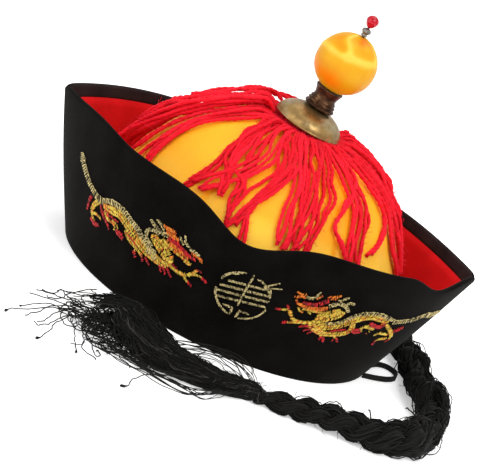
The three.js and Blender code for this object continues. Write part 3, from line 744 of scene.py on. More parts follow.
def braid_yarns(strands, girth, random):
    """Yarns laid round each strand, with slack that bulges here and there."""
    count = strands.shape[1]
    paths, tones = [], []
    first, second = moving_frames(strands)
    for k in range(PLAIT["strands"]):
        for j in range(PLAIT["yarns"]):
            start = (j + random.uniform(-YARN["uneven"], YARN["uneven"])) / PLAIT["yarns"] * FULL_TURN
            turn = start + np.linspace(0, 1, count) * random.uniform(*YARN["wind"])
            turn = turn + smooth_noise(random, count, length=7, amount=0.42)[0]
            swell = YARN["reach"] + smooth_noise(random, count, length=4, amount=0.12)[0]
            swell = swell + smooth_noise(random, count, length=2.2, amount=0.07)[0]
            reach = girth[k] * np.minimum(swell, YARN["most_reach"])
            offset = np.cos(turn)[:, None] * first[k] + np.sin(turn)[:, None] * second[k]
            paths.append(strands[k] + offset * reach[:, None])
            tones.append(random.uniform(0, 1))
    return np.array(paths), np.array(tones)


# Slack loops: their steps, where they may start, how many steps of the braid they span, how far they stand out
# as shares of its girth, and how far they wind round it
LOOPS = {"steps": 14, "first": 6, "last": 16, "span": (4, 10), "root": 0.92, "out": (0.15, 0.62), "wind": 2.2}


def braid_loops(strands, girth, random, count):
    """Slack loops of yarn that stand out of the braid."""
    steps = LOOPS["steps"]
    paths = []
    first, second = moving_frames(strands)
    for _ in range(count):
        k = random.integers(0, PLAIT["strands"])
        at = random.integers(LOOPS["first"], strands.shape[1] - LOOPS["last"])
        span = random.integers(*LOOPS["span"])
        turn = random.uniform(0, FULL_TURN)
        index = np.linspace(at, at + span, steps).astype(int)
        share = np.linspace(0, 1, steps)
        out = girth[k, index] * (LOOPS["root"] + random.uniform(*LOOPS["out"]) * np.sin(math.pi * share))
        out += smooth_noise(random, steps, length=3, amount=0.0003)[0]
        twist = turn + share * random.uniform(-LOOPS["wind"], LOOPS["wind"])
        offset = np.cos(twist)[:, None] * first[k, index] + np.sin(twist)[:, None] * second[k, index]
        base = rows_at(strands[k], np.linspace(at, at + span, steps))
        paths.append(base + offset * out[:, None])
    return np.array(paths)


def above_floor(points, lowest):
    """Lifts what would lie lower than the surface."""
    points = points.copy()
    points[..., 2] = np.maximum(points[..., 2], lowest)
    return points


def join_parts(*parts):
    """Several parts as one: their points, faces, uv and tones."""
    points, faces, uvs, tones = [], [], [], []
    start = 0
    for part_points, part_faces, part_uv, part_tones in parts:
        points.append(part_points)
        faces.extend([[i + start for i in face] for face in part_faces])
        uvs.append(part_uv)
        tones.append(part_tones)
        start += len(part_points)
    return np.vstack(points), faces, np.vstack(uvs), np.concatenate(tones)


def strands_part(paths, radii, sides, tones, **shape):
    """Tubes with one tone for each strand."""
    points, faces, uv = tubes(paths, radii, sides, **shape)
    each = len(points) // len(paths)
    return points, faces, uv, np.repeat(tones, each)


# How much a strand swells and pinches: the length of its waves in steps, their size, and the limits
SWELLS = [(8, 0.16), (3.5, 0.10)]
SWELL_LIMITS = (-0.30, 0.17)


def uneven(random, strands, girth):
    """The girth of each strand, swollen and pinched along its way as loose yarn is."""
    count = strands.shape[1]
    swells = [smooth_noise(random, count, length, amount, len(strands)) for length, amount in SWELLS]
    return girth * (1 + np.clip(sum(swells), *SWELL_LIMITS))


# How much standing hairs lean along the yarn and aside, how much they bend, and where they start in its girth
HAIR = {"along": 0.8, "aside": 0.3, "bend": 0.35, "root": 0.9}


def standing_hairs(random, strands, girth, count, steps, lengths):
    """Fine hairs that stand out of the strands."""
    first, second = moving_frames(strands)
    tangents = unit(np.gradient(strands, axis=1))
    k = random.integers(0, len(strands), count)
    at = random.integers(2, strands.shape[1] - 3, count)
    turn = random.uniform(0, FULL_TURN, count)
    out = np.cos(turn)[:, None] * first[k, at] + np.sin(turn)[:, None] * second[k, at]
    lean = tangents[k, at] * random.normal(0, HAIR["along"], (count, 1))
    lean = lean + random.normal(0, HAIR["aside"], (count, 3))
    share = np.linspace(0, 1, steps)[None, :, None]
    length = random.uniform(*lengths, (count, 1, 1))
    bend = random.normal(0, HAIR["bend"], (count, 1, 3)) * share**2
    root = strands[k, at] + out * (girth[k, at] * HAIR["root"])[:, None]
    return root[:, None] + length * share * (out[:, None] + lean[:, None] * share) + length * bend


# Bunches of cut ends: their steps, the steps of the strand that have none, how far the ends of a bunch spread
# round the strand and along it, how they lean, where they start in its girth, and their length
FRAYED = {
    "steps": 7, "first": 60, "last": 20, "spread": 0.35, "apart": 0.0016, "along": (0.6, 0.5), "aside": 0.25,
    "root": 0.8, "length": (0.0022, 0.0052),
}


def frayed_ends(random, strands, girth, bunches, each):
    """Bunches of short cut ends that stick out of the strands."""
    first, second = moving_frames(strands)
    tangents = unit(np.gradient(strands, axis=1))
    share = np.linspace(0, 1, FRAYED["steps"])[:, None]
    paths = []
    for _ in range(bunches):
        k = random.integers(0, len(strands))
        at = random.integers(FRAYED["first"], strands.shape[1] - FRAYED["last"])
        turn = random.uniform(-0.5, math.pi + 0.5)
        for _ in range(each):
            own = turn + random.normal(0, FRAYED["spread"])
            out = np.cos(own) * first[k, at] + np.sin(own) * second[k, at]
            lean = tangents[k, at] * random.normal(*FRAYED["along"]) + random.normal(0, FRAYED["aside"], 3)
            root = strands[k, at] + out * girth[k, at] * FRAYED["root"]
            root = root + tangents[k, at] * random.normal(0, FRAYED["apart"])
            length = random.uniform(*FRAYED["length"])
            paths.append(root + length * share * (out + lean * share))
    return np.array(paths)


def black_yarn_piece(name, parts, replaced=None):
    """A piece of the black yarn from its parts, none of them below the surface it lies on."""
    points, faces, uv, tones = join_parts(*parts)
    points = above_floor(points, BRAID["floor_gap"])
    piece = mesh_piece(name, points, faces, [BLACK_YARN], uv=uv, tones=tones)
    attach(piece, "root")
    if replaced:
        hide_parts(replaced)
    return piece


def make_braid():
    """The plait: three strands of yarn over a core. Its centreline and its frizz come with it."""
    random = np.random.default_rng(11)
    strands, girth, line = plait_strands(BRAID["steps"], random)
    girth = uneven(random, strands, girth)
    core = strands_part(strands, girth * PLAIT["core"], PLAIT["core_sides"], np.zeros(PLAIT["strands"]))
    yarns, tones = braid_yarns(strands, girth, random)
    thin = PLAIT["yarn_radius"]
    yarn_part = strands_part(
        above_floor(yarns, thin + YARN["clear"]), thin, sides=3, tones=tones * YARN["palest"]
    )
    piece = black_yarn_piece("yarn_braid", [core, yarn_part], "braid")
    return piece, line, make_frizz(random, strands, girth)


# Loose yarn ends that stick out of the braid: from and to, in mm
STRAY_ENDS = [
    {"from": (93, -118, 9), "to": (90, -107, 12)},
    {"from": (120, -78, 10), "to": (113, -76, 11)},
]


FRIZZ = {
    "loops": 520, "hairs": 1100, "hair_steps": 4, "hair_length": (0.0010, 0.0034), "bunches": 16,
    "bunch_ends": 14, "stray_steps": 12,
}
# How thick the frizz is: loops as a share of a yarn's radius, the others as shares of a loop's
FRIZZ_GIRTH = {"loop": 0.75, "frayed": 0.8, "stray": 1.3}


def make_frizz(random, strands, girth):
    """Loops, hairs and stray ends that stand out of the braid."""
    thin = PLAIT["yarn_radius"] * FRIZZ_GIRTH["loop"]
    loops = braid_loops(strands, girth, random, FRIZZ["loops"])
    parts = [strands_part(above_floor(loops, thin), thin, sides=3, tones=random.uniform(0, 0.8, len(loops)))]
    hairs = standing_hairs(random, strands, girth, FRIZZ["hairs"], FRIZZ["hair_steps"], FRIZZ["hair_length"])
    hair_tones = random.uniform(0, 1.0, len(hairs))
    parts.append(strands_part(above_floor(hairs, FINE_HAIR), FINE_HAIR, sides=3, tones=hair_tones))
    ends = above_floor(frayed_ends(random, strands, girth, FRIZZ["bunches"], FRIZZ["bunch_ends"]), thin)
    end_tones = random.uniform(0, 0.9, len(ends))
    parts.append(strands_part(ends, thin * FRIZZ_GIRTH["frayed"], sides=3, tones=end_tones))
    steps = FRIZZ["stray_steps"]
    for row in STRAY_ENDS:
        path = np.linspace(row["from"], row["to"], steps) * MILLIMETRE
        path += smooth_noise(random, steps, length=3, amount=0.0004, width=3).T
        parts.append(strands_part(path[None], thin * FRIZZ_GIRTH["stray"], sides=5, tones=np.array([0.3])))
    return black_yarn_piece("braid_frizz", parts)


TIE = {
    "radius": 0.0037, "length": 0.0065, "turns": 8, "thread": 0.00042, "start": 0.0003, "steps": 260, "sides": 6,
    "tone": 0.6,
}
# The yarn inside the tie: how far it reaches beyond the braid's end and beyond the tie
TIE_CORE = {"before": 0.0006, "beyond": 0.0012, "steps": 14, "sides": 16, "tone": 0.1}


def braid_end():
    """Where the tie starts, and the level direction in which the braid goes on."""
    route = np.array(ROUTE)
    forward = unit(route[-1] - route[-2])
    return np.append(route[-1], 0.0), np.append(forward, 0.0)


def make_tie():
    """A thread wound several times round the braid's end, over a core of yarn."""
    start, forward = braid_end()
    aside = np.cross(forward, [0, 0, 1])
    up = np.array([0, 0, 1.0])
    share = np.linspace(0, 1, TIE["steps"])
    turn = share * TIE["turns"] * FULL_TURN
    wind = TIE["radius"] * (1 + 0.07 * np.sin(turn * 0.37 + 1) + 0.05 * np.sin(turn * 1.7))
    axis_height = [0, 0, TIE["radius"] + TIE["thread"]]
    centre = start + forward * (TIE["start"] + share[:, None] * TIE["length"]) + axis_height
    coil = centre + aside * (wind * np.cos(turn))[:, None] + up * (wind * np.sin(turn))[:, None]
    coil_part = strands_part(coil[None], TIE["thread"], TIE["sides"], np.array([TIE["tone"]]))
    ends = np.linspace(-TIE_CORE["before"], TIE["length"] + TIE_CORE["beyond"], TIE_CORE["steps"])
    core_line = start + forward * ends[:, None] + axis_height
    core_radius = TIE["radius"] * (0.90 + 0.08 * np.cos(np.linspace(-1, 1, TIE_CORE["steps"]) * 4))
    core_part = strands_part(
        core_line[None], core_radius[None], TIE_CORE["sides"], np.array([TIE_CORE["tone"]])
    )
    return black_yarn_piece("yarn_tie", [core_part, coil_part], "braid_tie")


# The tassel's heap of yarn: its middle line on the surface, its half width and its height
TASSEL_ROWS = table(
    "x y half height",
    (0.0300, -0.1382, 0.0042, 0.0088),
    (0.0225, -0.1387, 0.0044, 0.0086),
    (0.0100, -0.1425, 0.0086, 0.0078),
    (-0.0040, -0.1440, 0.0112, 0.0088),
    (-0.0200, -0.1425, 0.0155, 0.0092),
    (-0.0350, -0.1350, 0.0195, 0.0122),
    (-0.0500, -0.1255, 0.0205, 0.0145),
    (-0.0610, -0.1250, 0.0185, 0.0115),
    (-0.0710, -0.1275, 0.0165, 0.0070),
    (-0.0820, -0.1320, 0.0150, 0.0040),
)
# Long strands that leave the heap: the radius of the knot at their end, and level points from there inwards,
# in mm
WISPS = [
    (0.0, [(-93, -121), (-87, -119), (-83, -111), (-80, -120), (-74, -132)]),
    (0.0, [(-90, -126), (-88, -128), (-83, -123), (-78, -112), (-72, -103), (-66, -101)]),
    (0.6, [(-100, -157), (-94, -147), (-89, -141), (-84, -141), (-79, -143), (-71, -142)]),
    (0.9, [(-106, -172), (-102, -164), (-94, -156), (-89, -150), (-84, -144), (-74, -139)]),
    (0.0, [(-95, -167), (-93, -160), (-90, -153), (-87, -147), (-80, -142), (-70, -138)]),
    (0.0, [(-89, -167), (-86, -161), (-83, -152), (-80, -145), (-76, -143), (-71, -143)]),
    (0.0, [(-90, -171), (-86, -169), (-81, -161), (-79, -154), (-75, -149), (-70, -146)]),
    (0.9, [(-86, -188), (-84, -184), (-82, -175), (-80, -164), (-77, -156), (-72, -150)]),
    (0.0, [(-79, -126), (-80, -137), (-79, -149), (-76, -164), (-70, -165)]),
    (0.8, [(-65, -183), (-67, -173), (-70, -162), (-73, -153), (-69, -146)]),
    (0.0, [(-54, -181), (-58, -179), (-63, -175), (-64, -166), (-68, -153), (-66, -146)]),
    (0.5, [(-57, -170), (-55, -168), (-54, -174), (-56, -177), (-60, -167), (-64, -158), (-61, -150)]),
    (0.9, [(-40, -198), (-37, -195), (-34, -185), (-28, -173), (-18, -167), (-8, -163)]),
    (0.0, [(-96, -124), (-88, -122), (-80, -124), (-70, -128)]),
    (0.0, [(-86, -113), (-78, -108), (-68, -105), (-56, -106)]),
    (0.0, [(-98, -133), (-90, -131), (-80, -133), (-70, -136)]),
]
# Slack strands that bow out of the heap on their way to the tie, and loops that end back in it: how high
# their middle stands, and level points, in mm
ARCS = [
    (1, [(-52, -163), (-40, -166), (-28, -169), (-17, -174), (-6, -173), (7, -158), (20, -142)]),
    (1, [(-45, -160), (-32, -166), (-23, -167), (-14, -168), (-4, -171), (4, -165), (12, -150), (22, -141)]),
    (2, [(-44, -158), (-30, -166), (-14, -161), (0, -154), (12, -146)]),
    (1, [(-49, -157), (-38, -161), (-29, -167), (-14, -169), (-2, -169), (7, -161), (14, -151), (21, -140)]),
    (6, [(-22, -118), (-15, -114), (-8, -112), (2, -109), (12, -109), (19, -113), (24, -122), (28, -135)]),
    (5, [(-26, -122), (-12, -117), (0, -113), (10, -112), (17, -116), (22, -123), (27, -136)]),
    (4, [(-18, -126), (-10, -122), (-3, -118), (5, -117), (12, -121), (19, -128), (26, -137)]),
    (2, [(-44, -148), (-56, -152), (-66, -156), (-70, -148), (-66, -138), (-56, -134)]),
    (1, [(-38, -150), (-50, -160), (-60, -166), (-64, -158), (-60, -148), (-50, -140)]),
    (1, [(-30, -150), (-42, -158), (-54, -168), (-59, -163), (-54, -154), (-44, -144)]),
    (1, [(-22, -152), (-34, -157), (-46, -160), (-58, -158), (-62, -150), (-54, -142)]),
    (2, [(-50, -140), (-62, -143), (-72, -140), (-77, -132), (-70, -126), (-60, -128)]),
]
TASSEL = {
    "strands": 430, "steps": 54, "thin": 0.00016, "thick": 0.00032, "wisp": 0.00031, "arc": 0.00025,
    "arc_copies": 4, "curls": 140, "hairs": 240, "hair_steps": 12, "full": 1.12, "reach": 0.75,
    "reach_spread": 0.065, "shortest": 0.45, "greyed": 0.12, "widest": 1.1, "lanes": 200,
}
CORE = {
    "from": 0.015, "to": 0.77, "share": 0.90, "rows": 90, "columns": 36, "length": 0.12, "width": 0.01,
    "tone": 0.1,
}
# Where the heap falls away on its front side, as shares of its length, and how much of its width goes
FRONT_FALL = {"from": 0.48, "over": 0.28, "share": 0.55}


def tassel_lanes():
    """The heap's middle line, the direction across it, its half width and its height, at fine steps."""
    rows = np.array([[row["x"], row["y"], row["half"], row["height"]] for row in TASSEL_ROWS])
    lanes = spline(rows, TASSEL["lanes"])
    forward = unit(np.gradient(lanes[:, :2], axis=0))
    across = np.stack([-forward[:, 1], forward[:, 0]], -1)
    return lanes, across


def front_edge(share):
    """How far the heap reaches on its front side, which falls away before its far end."""
    return 1 - FRONT_FALL["share"] * np.clip((share - FRONT_FALL["from"]) / FRONT_FALL["over"], 0, 1)


def tassel_core(lanes, across):
    """The matted heart of the tassel, a lumpy mound under its loose strands."""
    rows, columns = CORE["rows"], CORE["columns"]
    share = np.linspace(0, 1, rows)
    index = (CORE["from"] + (CORE["to"] - CORE["from"]) * share) * (len(lanes) - 1)
    lane, side = rows_at(lanes, index), rows_at(across, index)
    turn = np.linspace(0, math.pi, columns)
    s, t = np.meshgrid(share, turn, indexing="ij")
    lumps = 1 + 0.05 * np.sin(9 * t + 23 * s) + 0.04 * np.sin(31 * s + 5 * t + 1)
    lumps = lumps + 0.03 * np.sin(57 * s - 13 * t)
    ends = np.clip(share / 0.04, 0.05, 1) ** 0.5 * np.clip((1 - share) / 0.2, 0.02, 1) ** 0.5
    reach = CORE["share"] * lumps * ends[:, None]
    front = np.where(np.cos(t) > 0, front_edge(index / (len(lanes) - 1))[:, None], 1)
    ground = lane[:, None, :2] + side[:, None] * (lane[:, 2:3] * np.cos(t) * reach * front)[..., None]
    height = BRAID["floor_gap"] + lane[:, 3:4] * np.sin(t) ** 0.8 * reach
    points = np.concatenate([ground, height[..., None]], -1).reshape(-1, 3)
    uv = np.stack([s * CORE["length"], t * CORE["width"]], -1).reshape(-1, 2)
    return points, closed_grid(rows, columns), uv, np.full(len(points), CORE["tone"])


# A strand of the heap: where it may start, how far across it may lie, the steps and size of its kinks and how
# much they lift it, and how high it lies in the heap
HEAP_STRAND = {
    "start": 0.05, "across": 1.08, "kink_steps": (3, 6), "kink": 0.0009, "kink_rise": 0.6,
    "level": (0.86, 1.05),
}


def tassel_strand(random, lanes, across, reach):
    """One kinky strand over the heap. It ends at reach, a share of the heap's length."""
    steps = TASSEL["steps"]
    share = np.linspace(random.uniform(0, HEAP_STRAND["start"]), reach, steps)
    index = share * (len(lanes) - 1)
    lane, side = rows_at(lanes, index), rows_at(across, index)
    spread = random.uniform(-HEAP_STRAND["across"], HEAP_STRAND["across"])
    spread = spread + smooth_noise(random, steps, length=13, amount=0.13)[0]
    spread = np.where(spread > 0, spread * front_edge(share), spread)
    spread = np.clip(spread, -TASSEL["widest"], TASSEL["widest"])
    kink = smooth_noise(random, steps, random.uniform(*HEAP_STRAND["kink_steps"]), HEAP_STRAND["kink"], width=2)
    kink = kink * np.clip(share * 8, 0.2, 1)[None]
    level = random.uniform(*HEAP_STRAND["level"]) + smooth_noise(random, steps, length=9, amount=0.05)[0]
    dome = np.sqrt(np.clip(1 - (spread / TASSEL["full"]) ** 2, 0.01, 1))
    height = lane[:, 3] * dome * level + np.abs(kink[1]) * HEAP_STRAND["kink_rise"]
    ground = lane[:, :2] + side * (spread * lane[:, 2] + kink[0])[:, None]
    return np.column_stack([ground, height])


# Curls: where they leave the heap along it and across it, the way they head as a share of half a turn, and
# their length
END_CURL = {"at": (0.64, 0.84), "across": (-0.9, 0.95), "heading": 1.05, "length": (0.012, 0.028)}
FRONT_CURL = {"at": (0.50, 0.84), "across": (0.45, 0.95), "heading": 1.30, "length": (0.018, 0.042)}
END_CURL_SHARE = 0.5
CURL_HEIGHT = 0.0006


def tassel_curl(random, lanes, across):
    """A curly strand that leaves the heap's far end or its front side."""
    steps = TASSEL["steps"]
    kind = END_CURL if random.uniform(0, 1) < END_CURL_SHARE else FRONT_CURL
    index = random.uniform(*kind["at"]) * (len(lanes) - 1)
    lane, side = (rows_at(rows, np.array([index]))[0] for rows in (lanes, across))
    spread = min(random.uniform(*kind["across"]), float(front_edge(index / (len(lanes) - 1))))
    start = lane[:2] + side * spread * lane[2]
    heading = math.pi * kind["heading"] + random.normal(0, 0.55)
    length = random.uniform(*kind["length"])
    turn = heading + np.cumsum(smooth_noise(random, steps, length=8, amount=0.19)[0])
    step = length / steps
    ground = start + np.cumsum(np.stack([np.cos(turn), np.sin(turn)], -1) * step, axis=0)
    share = np.linspace(0, 1, steps)
    height = CURL_HEIGHT + lane[3] * 0.5 * (1 - share) ** 1.5
    height = height + np.abs(smooth_noise(random, steps, length=10, amount=0.0007)[0])
    return np.column_stack([ground, height])


def loose_strand(random, points, start_height, end_height, shift=0.0, rise=0.0):
    """A strand through level points in mm, from its free end inwards. rise is how high its middle stands."""
    steps = TASSEL["steps"]
    ground = spline(np.array(points, float) * MILLIMETRE, steps)
    ground = ground + random.normal(0, 1, 2) * shift
    ground = ground + smooth_noise(random, steps, length=18, amount=shift, width=2).T
    ground += smooth_noise(random, steps, length=6, amount=0.00045, width=2).T
    share = np.linspace(0, 1, steps)
    height = start_height + (end_height - start_height) * share**2 + rise * np.sin(math.pi * share) ** 0.7
    height += np.abs(smooth_noise(random, steps, length=8, amount=0.0003)[0])
    return np.column_stack([ground, height])


# A fine hair over the heap: how far across it may start, its length, and how far its end may sink or rise
HEAP_HAIR = {"across": 1.05, "length": (0.003, 0.010), "rise": (-0.002, 0.0016)}
# The share of the hairs that are grey, and the tones of both kinds; the grey is a painted highlight of fine
# hairs that catch the light
HAIR_TONES = {"grey_share": 0.4, "grey": 1.6, "black": 0.6}


def tie_hairs(random, lanes, across, steps):
    """Short fine hairs that stand round the tie and over the heap, some of them grey as a painted highlight
    where they catch the light.
    """
    paths = []
    for _ in range(TASSEL["hairs"]):
        index = random.uniform(0, 0.5) ** 1.5 * 1.4 * (len(lanes) - 1)
        lane, side = (rows_at(rows, np.array([index]))[0] for rows in (lanes, across))
        spread = random.uniform(-HEAP_HAIR["across"], HEAP_HAIR["across"])
        dome = math.sqrt(max(1 - (spread / TASSEL["full"]) ** 2, 0.02))
        start = np.append(lane[:2] + side * spread * lane[2], lane[3] * dome)
        heading = random.uniform(0, FULL_TURN)
        turn = heading + np.cumsum(smooth_noise(random, steps, length=4, amount=0.16)[0])
        step = random.uniform(*HEAP_HAIR["length"]) / steps
        ground = np.cumsum(np.stack([np.cos(turn), np.sin(turn)], -1) * step, axis=0)
        rise = np.linspace(0, random.uniform(*HEAP_HAIR["rise"]), steps)
        paths.append(start + np.column_stack([ground, rise]))
    return np.array(paths)


def make_tassel():
    """The heap of yarn below the tie."""
    random = np.random.default_rng(23)
    lanes, across = tassel_lanes()
    reaches = random.normal(TASSEL["reach"], TASSEL["reach_spread"], TASSEL["strands"])
    reaches = np.clip(reaches, TASSEL["shortest"], 1.0)
    paths = np.array([tassel_strand(random, lanes, across, reach) for reach in reaches])
    paths = above_floor(paths, TASSEL["thick"])
    radii = random.uniform(TASSEL["thin"], TASSEL["thick"], (len(paths), 1)) * np.ones((1, TASSEL["steps"]))
    tones = random.uniform(0, 1, len(paths)) ** 1.5
    # A share of the strands is greyer, with tones over 1
    greyed = random.uniform(0, 1, len(paths)) < TASSEL["greyed"]
    tones[greyed] = random.uniform(1.0, 1.5, greyed.sum())
    strands = strands_part(paths, radii, sides=3, tones=tones)
    return black_yarn_piece("yarn_tassel", [tassel_core(lanes, across), strands], "tassel")


# How high a strand's free end and its other end stand, and how far the copies of an arc lie apart
WISP_HEIGHTS = (0.0006, 0.0060)
ARC_HEIGHTS = (0.0010, 0.0040)
ARC_SHIFT = 0.0013
# The girth of a knot at the first steps of a strand
KNOT_SHAPE = np.array([0.5, 1.0, 0.85, 0.6, 0.4])


def make_wisps():
    """The tassel's curly ends, its long loose strands and its fine hairs."""
    random = np.random.default_rng(29)
    lanes, across = tassel_lanes()
    steps = TASSEL["steps"]
    curls = [tassel_curl(random, lanes, across) for _ in range(TASSEL["curls"])]
    wisps = [loose_strand(random, points, *WISP_HEIGHTS) for _, points in WISPS]
    arcs = []
    for rise, points in ARCS:
        for _ in range(TASSEL["arc_copies"]):
            own_rise = rise * MILLIMETRE * random.uniform(0.7, 1.1)
            arcs.append(loose_strand(random, points, *ARC_HEIGHTS, ARC_SHIFT, own_rise))
    radii = TASSEL["wisp"] * np.ones((len(wisps), steps))
    for row, (knot, _) in zip(radii, WISPS):
        knotted = knot * MILLIMETRE * KNOT_SHAPE
        row[: len(knotted)] = np.maximum(row[: len(knotted)], knotted)
    wisp_paths = above_floor(np.array(wisps), TASSEL["wisp"])
    parts = [strands_part(wisp_paths, radii, sides=5, tones=random.uniform(0, 0.6, len(wisps)))]
    curl_paths = above_floor(np.array(curls), TASSEL["thick"])[:, ::2]
    curl_radii = TASSEL["wisp"] * random.uniform(0.70, 1.15, (len(curls), 1))
    curl_radii = curl_radii * np.ones((1, curl_paths.shape[1]))
    parts.append(strands_part(curl_paths, curl_radii, sides=4, tones=random.uniform(0, 0.6, len(curls))))
    arc_paths = above_floor(np.array(arcs), TASSEL["thin"])
    parts.append(strands_part(arc_paths, TASSEL["arc"], sides=4, tones=random.uniform(0, 1, len(arcs))))
    hairs = above_floor(tie_hairs(random, lanes, across, TASSEL["hair_steps"]), FINE_HAIR)
    # A share of the hairs is grey: a painted highlight of hairs that catch the light
    is_grey = random.uniform(0, 1, len(hairs)) < HAIR_TONES["grey_share"]
    hair_tones = np.where(is_grey, HAIR_TONES["grey"], HAIR_TONES["black"])
    parts.append(strands_part(hairs, FINE_HAIR, sides=3, tones=hair_tones))
    return black_yarn_piece("tassel_wisps", parts)


braid, braid_centres, frizz = make_braid()
tie = make_tie()
tassel = make_tassel()
wisps = make_wisps()


# Brim


def edge_height(angle, droops):
    """The height of a panel's top edge."""
    x = TOP_HALF_WIDTH * np.sin(np.radians(angle))
    height = BRIM_HEIGHT - DIP["depth"] * hill(x - DIP["offset"], DIP["half_width"])
    for droop in droops:
        off = np.minimum(np.abs(x - droop["x"]) / droop["half_width"], 1)
        height = height - droop["drop"] * np.cos(math.pi / 2 * off) ** 2
    return height


SOFTNESS = 0.0006


def softness(angle, z):
    """How far the cloth of the brim stands in or out: long shallow waves."""
    turn = np.radians(angle)
    waves = 0.45 * np.sin(2.1 * turn + 0.6) + 0.35 * np.sin(5.3 * turn + 55 * z)
    waves = waves + 0.2 * np.sin(9.7 * turn - 80 * z + 1)
    return SOFTNESS * waves * np.sin(math.pi * np.clip(z / BRIM_HEIGHT, 0, 1)) * np.cos(turn) ** 2


def outer_face(angle, z, droops=FRONT_DROOPS):
    """A point of the front panel's outer face."""
    angle, z = np.broadcast_arrays(np.asarray(angle, float), np.asarray(z, float))
    sine, cosine = np.sin(np.radians(angle)), np.cos(np.radians(angle))
    t = z / edge_height(angle, droops)
    bottom_x, bottom_y = BOTTOM_RADIUS * sine, -BOTTOM_RADIUS * cosine
    top_x, top_y = TOP_HALF_WIDTH * sine, -TOP_HALF_DEPTH * (1 - np.abs(sine) ** TOP_FULLNESS)
    bulge = 1 + (BULGE * np.sin(math.pi * t) + softness(angle, z)) / BOTTOM_RADIUS
    x = (bottom_x + (top_x - bottom_x) * t) * bulge
    y = (bottom_y + (top_y - bottom_y) * t) * bulge
    return np.stack([x, y, z], -1)


SLOPE_STEP = 0.5


def outward(angle, z, droops=FRONT_DROOPS):
    """The level direction out of the face."""
    ahead = outer_face(np.minimum(angle + SLOPE_STEP, 90), z, droops)
    behind = outer_face(np.maximum(angle - SLOPE_STEP, -90), z, droops)
    along = ahead - behind
    along[..., 2] = 0
    along = unit(along)
    return np.stack([along[..., 1], -along[..., 0], np.zeros_like(along[..., 0])], -1)


AT_SEAM = 89.9
LEAST_SIDEWAYS = 0.2


def wall_point(angle, z, inset, droops):
    """A point of a panel set in from its outer face. At the seams it stays in the seam's plane."""
    angle, z, inset = np.broadcast_arrays(angle, np.asarray(z, float), np.asarray(inset, float))
    out = outward(angle, z, droops)
    point = outer_face(angle, z, droops)
    at_seam = np.abs(angle) > AT_SEAM
    sideways = np.where(np.abs(out[..., 0]) > LEAST_SIDEWAYS, out[..., 0], LEAST_SIDEWAYS)
    seam_point = point.copy()
    seam_point[..., 0] -= inset / sideways
    inner = point - out * inset[..., None]
    return np.where(at_seam[..., None], seam_point, inner)


PANEL_COLUMNS = 150
PANEL_CROWDING = 0.55


def panel_angles(count):
    """Angles along a panel, closer together near the seams."""
    even_steps = np.linspace(-1, 1, count)
    widest = math.sin(math.pi / 2 * PANEL_CROWDING)
    return 90 * np.sin(even_steps * math.pi / 2 * PANEL_CROWDING) / widest


# The rolled top edge: how flat it is, and its steps
ROLL = {"flatness": 0.85, "steps": 9}


# The foot of the wall as rows of height and inset, and the shares of the height between it and the roll
FOOT = [(0.0, 0.0012), (0.0, 0.0004), (0.0005, 0.0)]
FOOT_INSIDE = [(0.0005, WALL), (0.0, WALL - 0.0004)]
OUTSIDE_SHARES = np.linspace(0.03, 0.94, 22)
INSIDE_SHARES = np.linspace(0.8, 0.03, 8)
FACING_SHARES = (0.45, 0.7, 0.93)
FACING_EDGE = 0.0003


def brim_section(top):
    """Rows of height and inset: up the outer face, over the rolled edge and down the inside."""
    rows = FOOT + [(top * share, 0.0) for share in OUTSIDE_SHARES]
    roll = FACING / 2
    rise = roll * ROLL["flatness"]
    for turn in np.linspace(0, 180, ROLL["steps"]):
        round_edge = math.radians(turn)
        rows.append((top - rise + rise * math.sin(round_edge), roll - roll * math.cos(round_edge)))
    rows += [(top - FACING_DEPTH * share, FACING) for share in FACING_SHARES]
    rows += [(top - FACING_DEPTH, FACING - FACING_EDGE), (top - FACING_DEPTH, WALL)]
    rows += [(top * share, WALL) for share in INSIDE_SHARES]
    return rows + FOOT_INSIDE


# The rows of brim_section between which the turned-in velvet lies
FACING_COLUMNS = (30, 38)
# Where the cloth turns in at the seams, in degrees, and how far
SEAM_TURN = {"from": 88.2, "over": 1.8, "depth": 0.0007}
# How much the top edge is rounded off towards the two peaks
PEAK_ROUND = {"left": {"drop": 0.0022, "width": 8.0}, "right": {"drop": 0.0031, "width": 7.0}}


def make_brim(name, node, droops, side):
    """One velvet panel. side is 1 for the front and -1 for the back."""
    angles = panel_angles(PANEL_COLUMNS)
    rings = []
    for angle in angles:
        peak = PEAK_ROUND["left" if angle < 0 else "right"]
        rounded = peak["drop"] * math.exp(-(((90 - abs(angle)) / peak["width"]) ** 2))
        top = float(edge_height(angle, droops)) - rounded
        section = np.array(brim_section(top))
        ring = wall_point(np.full(len(section), angle), section[:, 0], section[:, 1], droops)
        ring[:, 1] -= SEAM_GAP
        rings.append(ring)
    points = np.array(rings)
    width = points.shape[1]
    # The cloth turns in at the seam
    near = np.clip((np.abs(angles) - SEAM_TURN["from"]) / SEAM_TURN["over"], 0, 1) ** 2 * SEAM_TURN["depth"]
    points[:, :, 0] -= (np.sign(angles) * near)[:, None]
    points = points.reshape(-1, 3)
    points[:, 1] *= side
    faces = grid_faces(len(angles), width, closed_columns=True)
    faces.append(list(range(width)))
    faces.append([(len(angles) - 1) * width + width - 1 - i for i in range(width)])
    if side > 0:
        faces = [face[::-1] for face in faces]
    # The turned-in edge takes a paler, reddish copy of the velvet: painted light with a painted red reflection
    # of the lining
    column = np.arange(width)
    turned_in = ((column >= FACING_COLUMNS[0]) & (column < FACING_COLUMNS[1])).astype(int)
    slots = np.append(np.tile(turned_in, len(angles) - 1), [0, 0])
    piece = mesh_piece(name, points, faces, [VELVET, VELVET_FACING_PAINTED_LIGHT], slots=slots)
    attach(piece, "root")
    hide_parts(node)


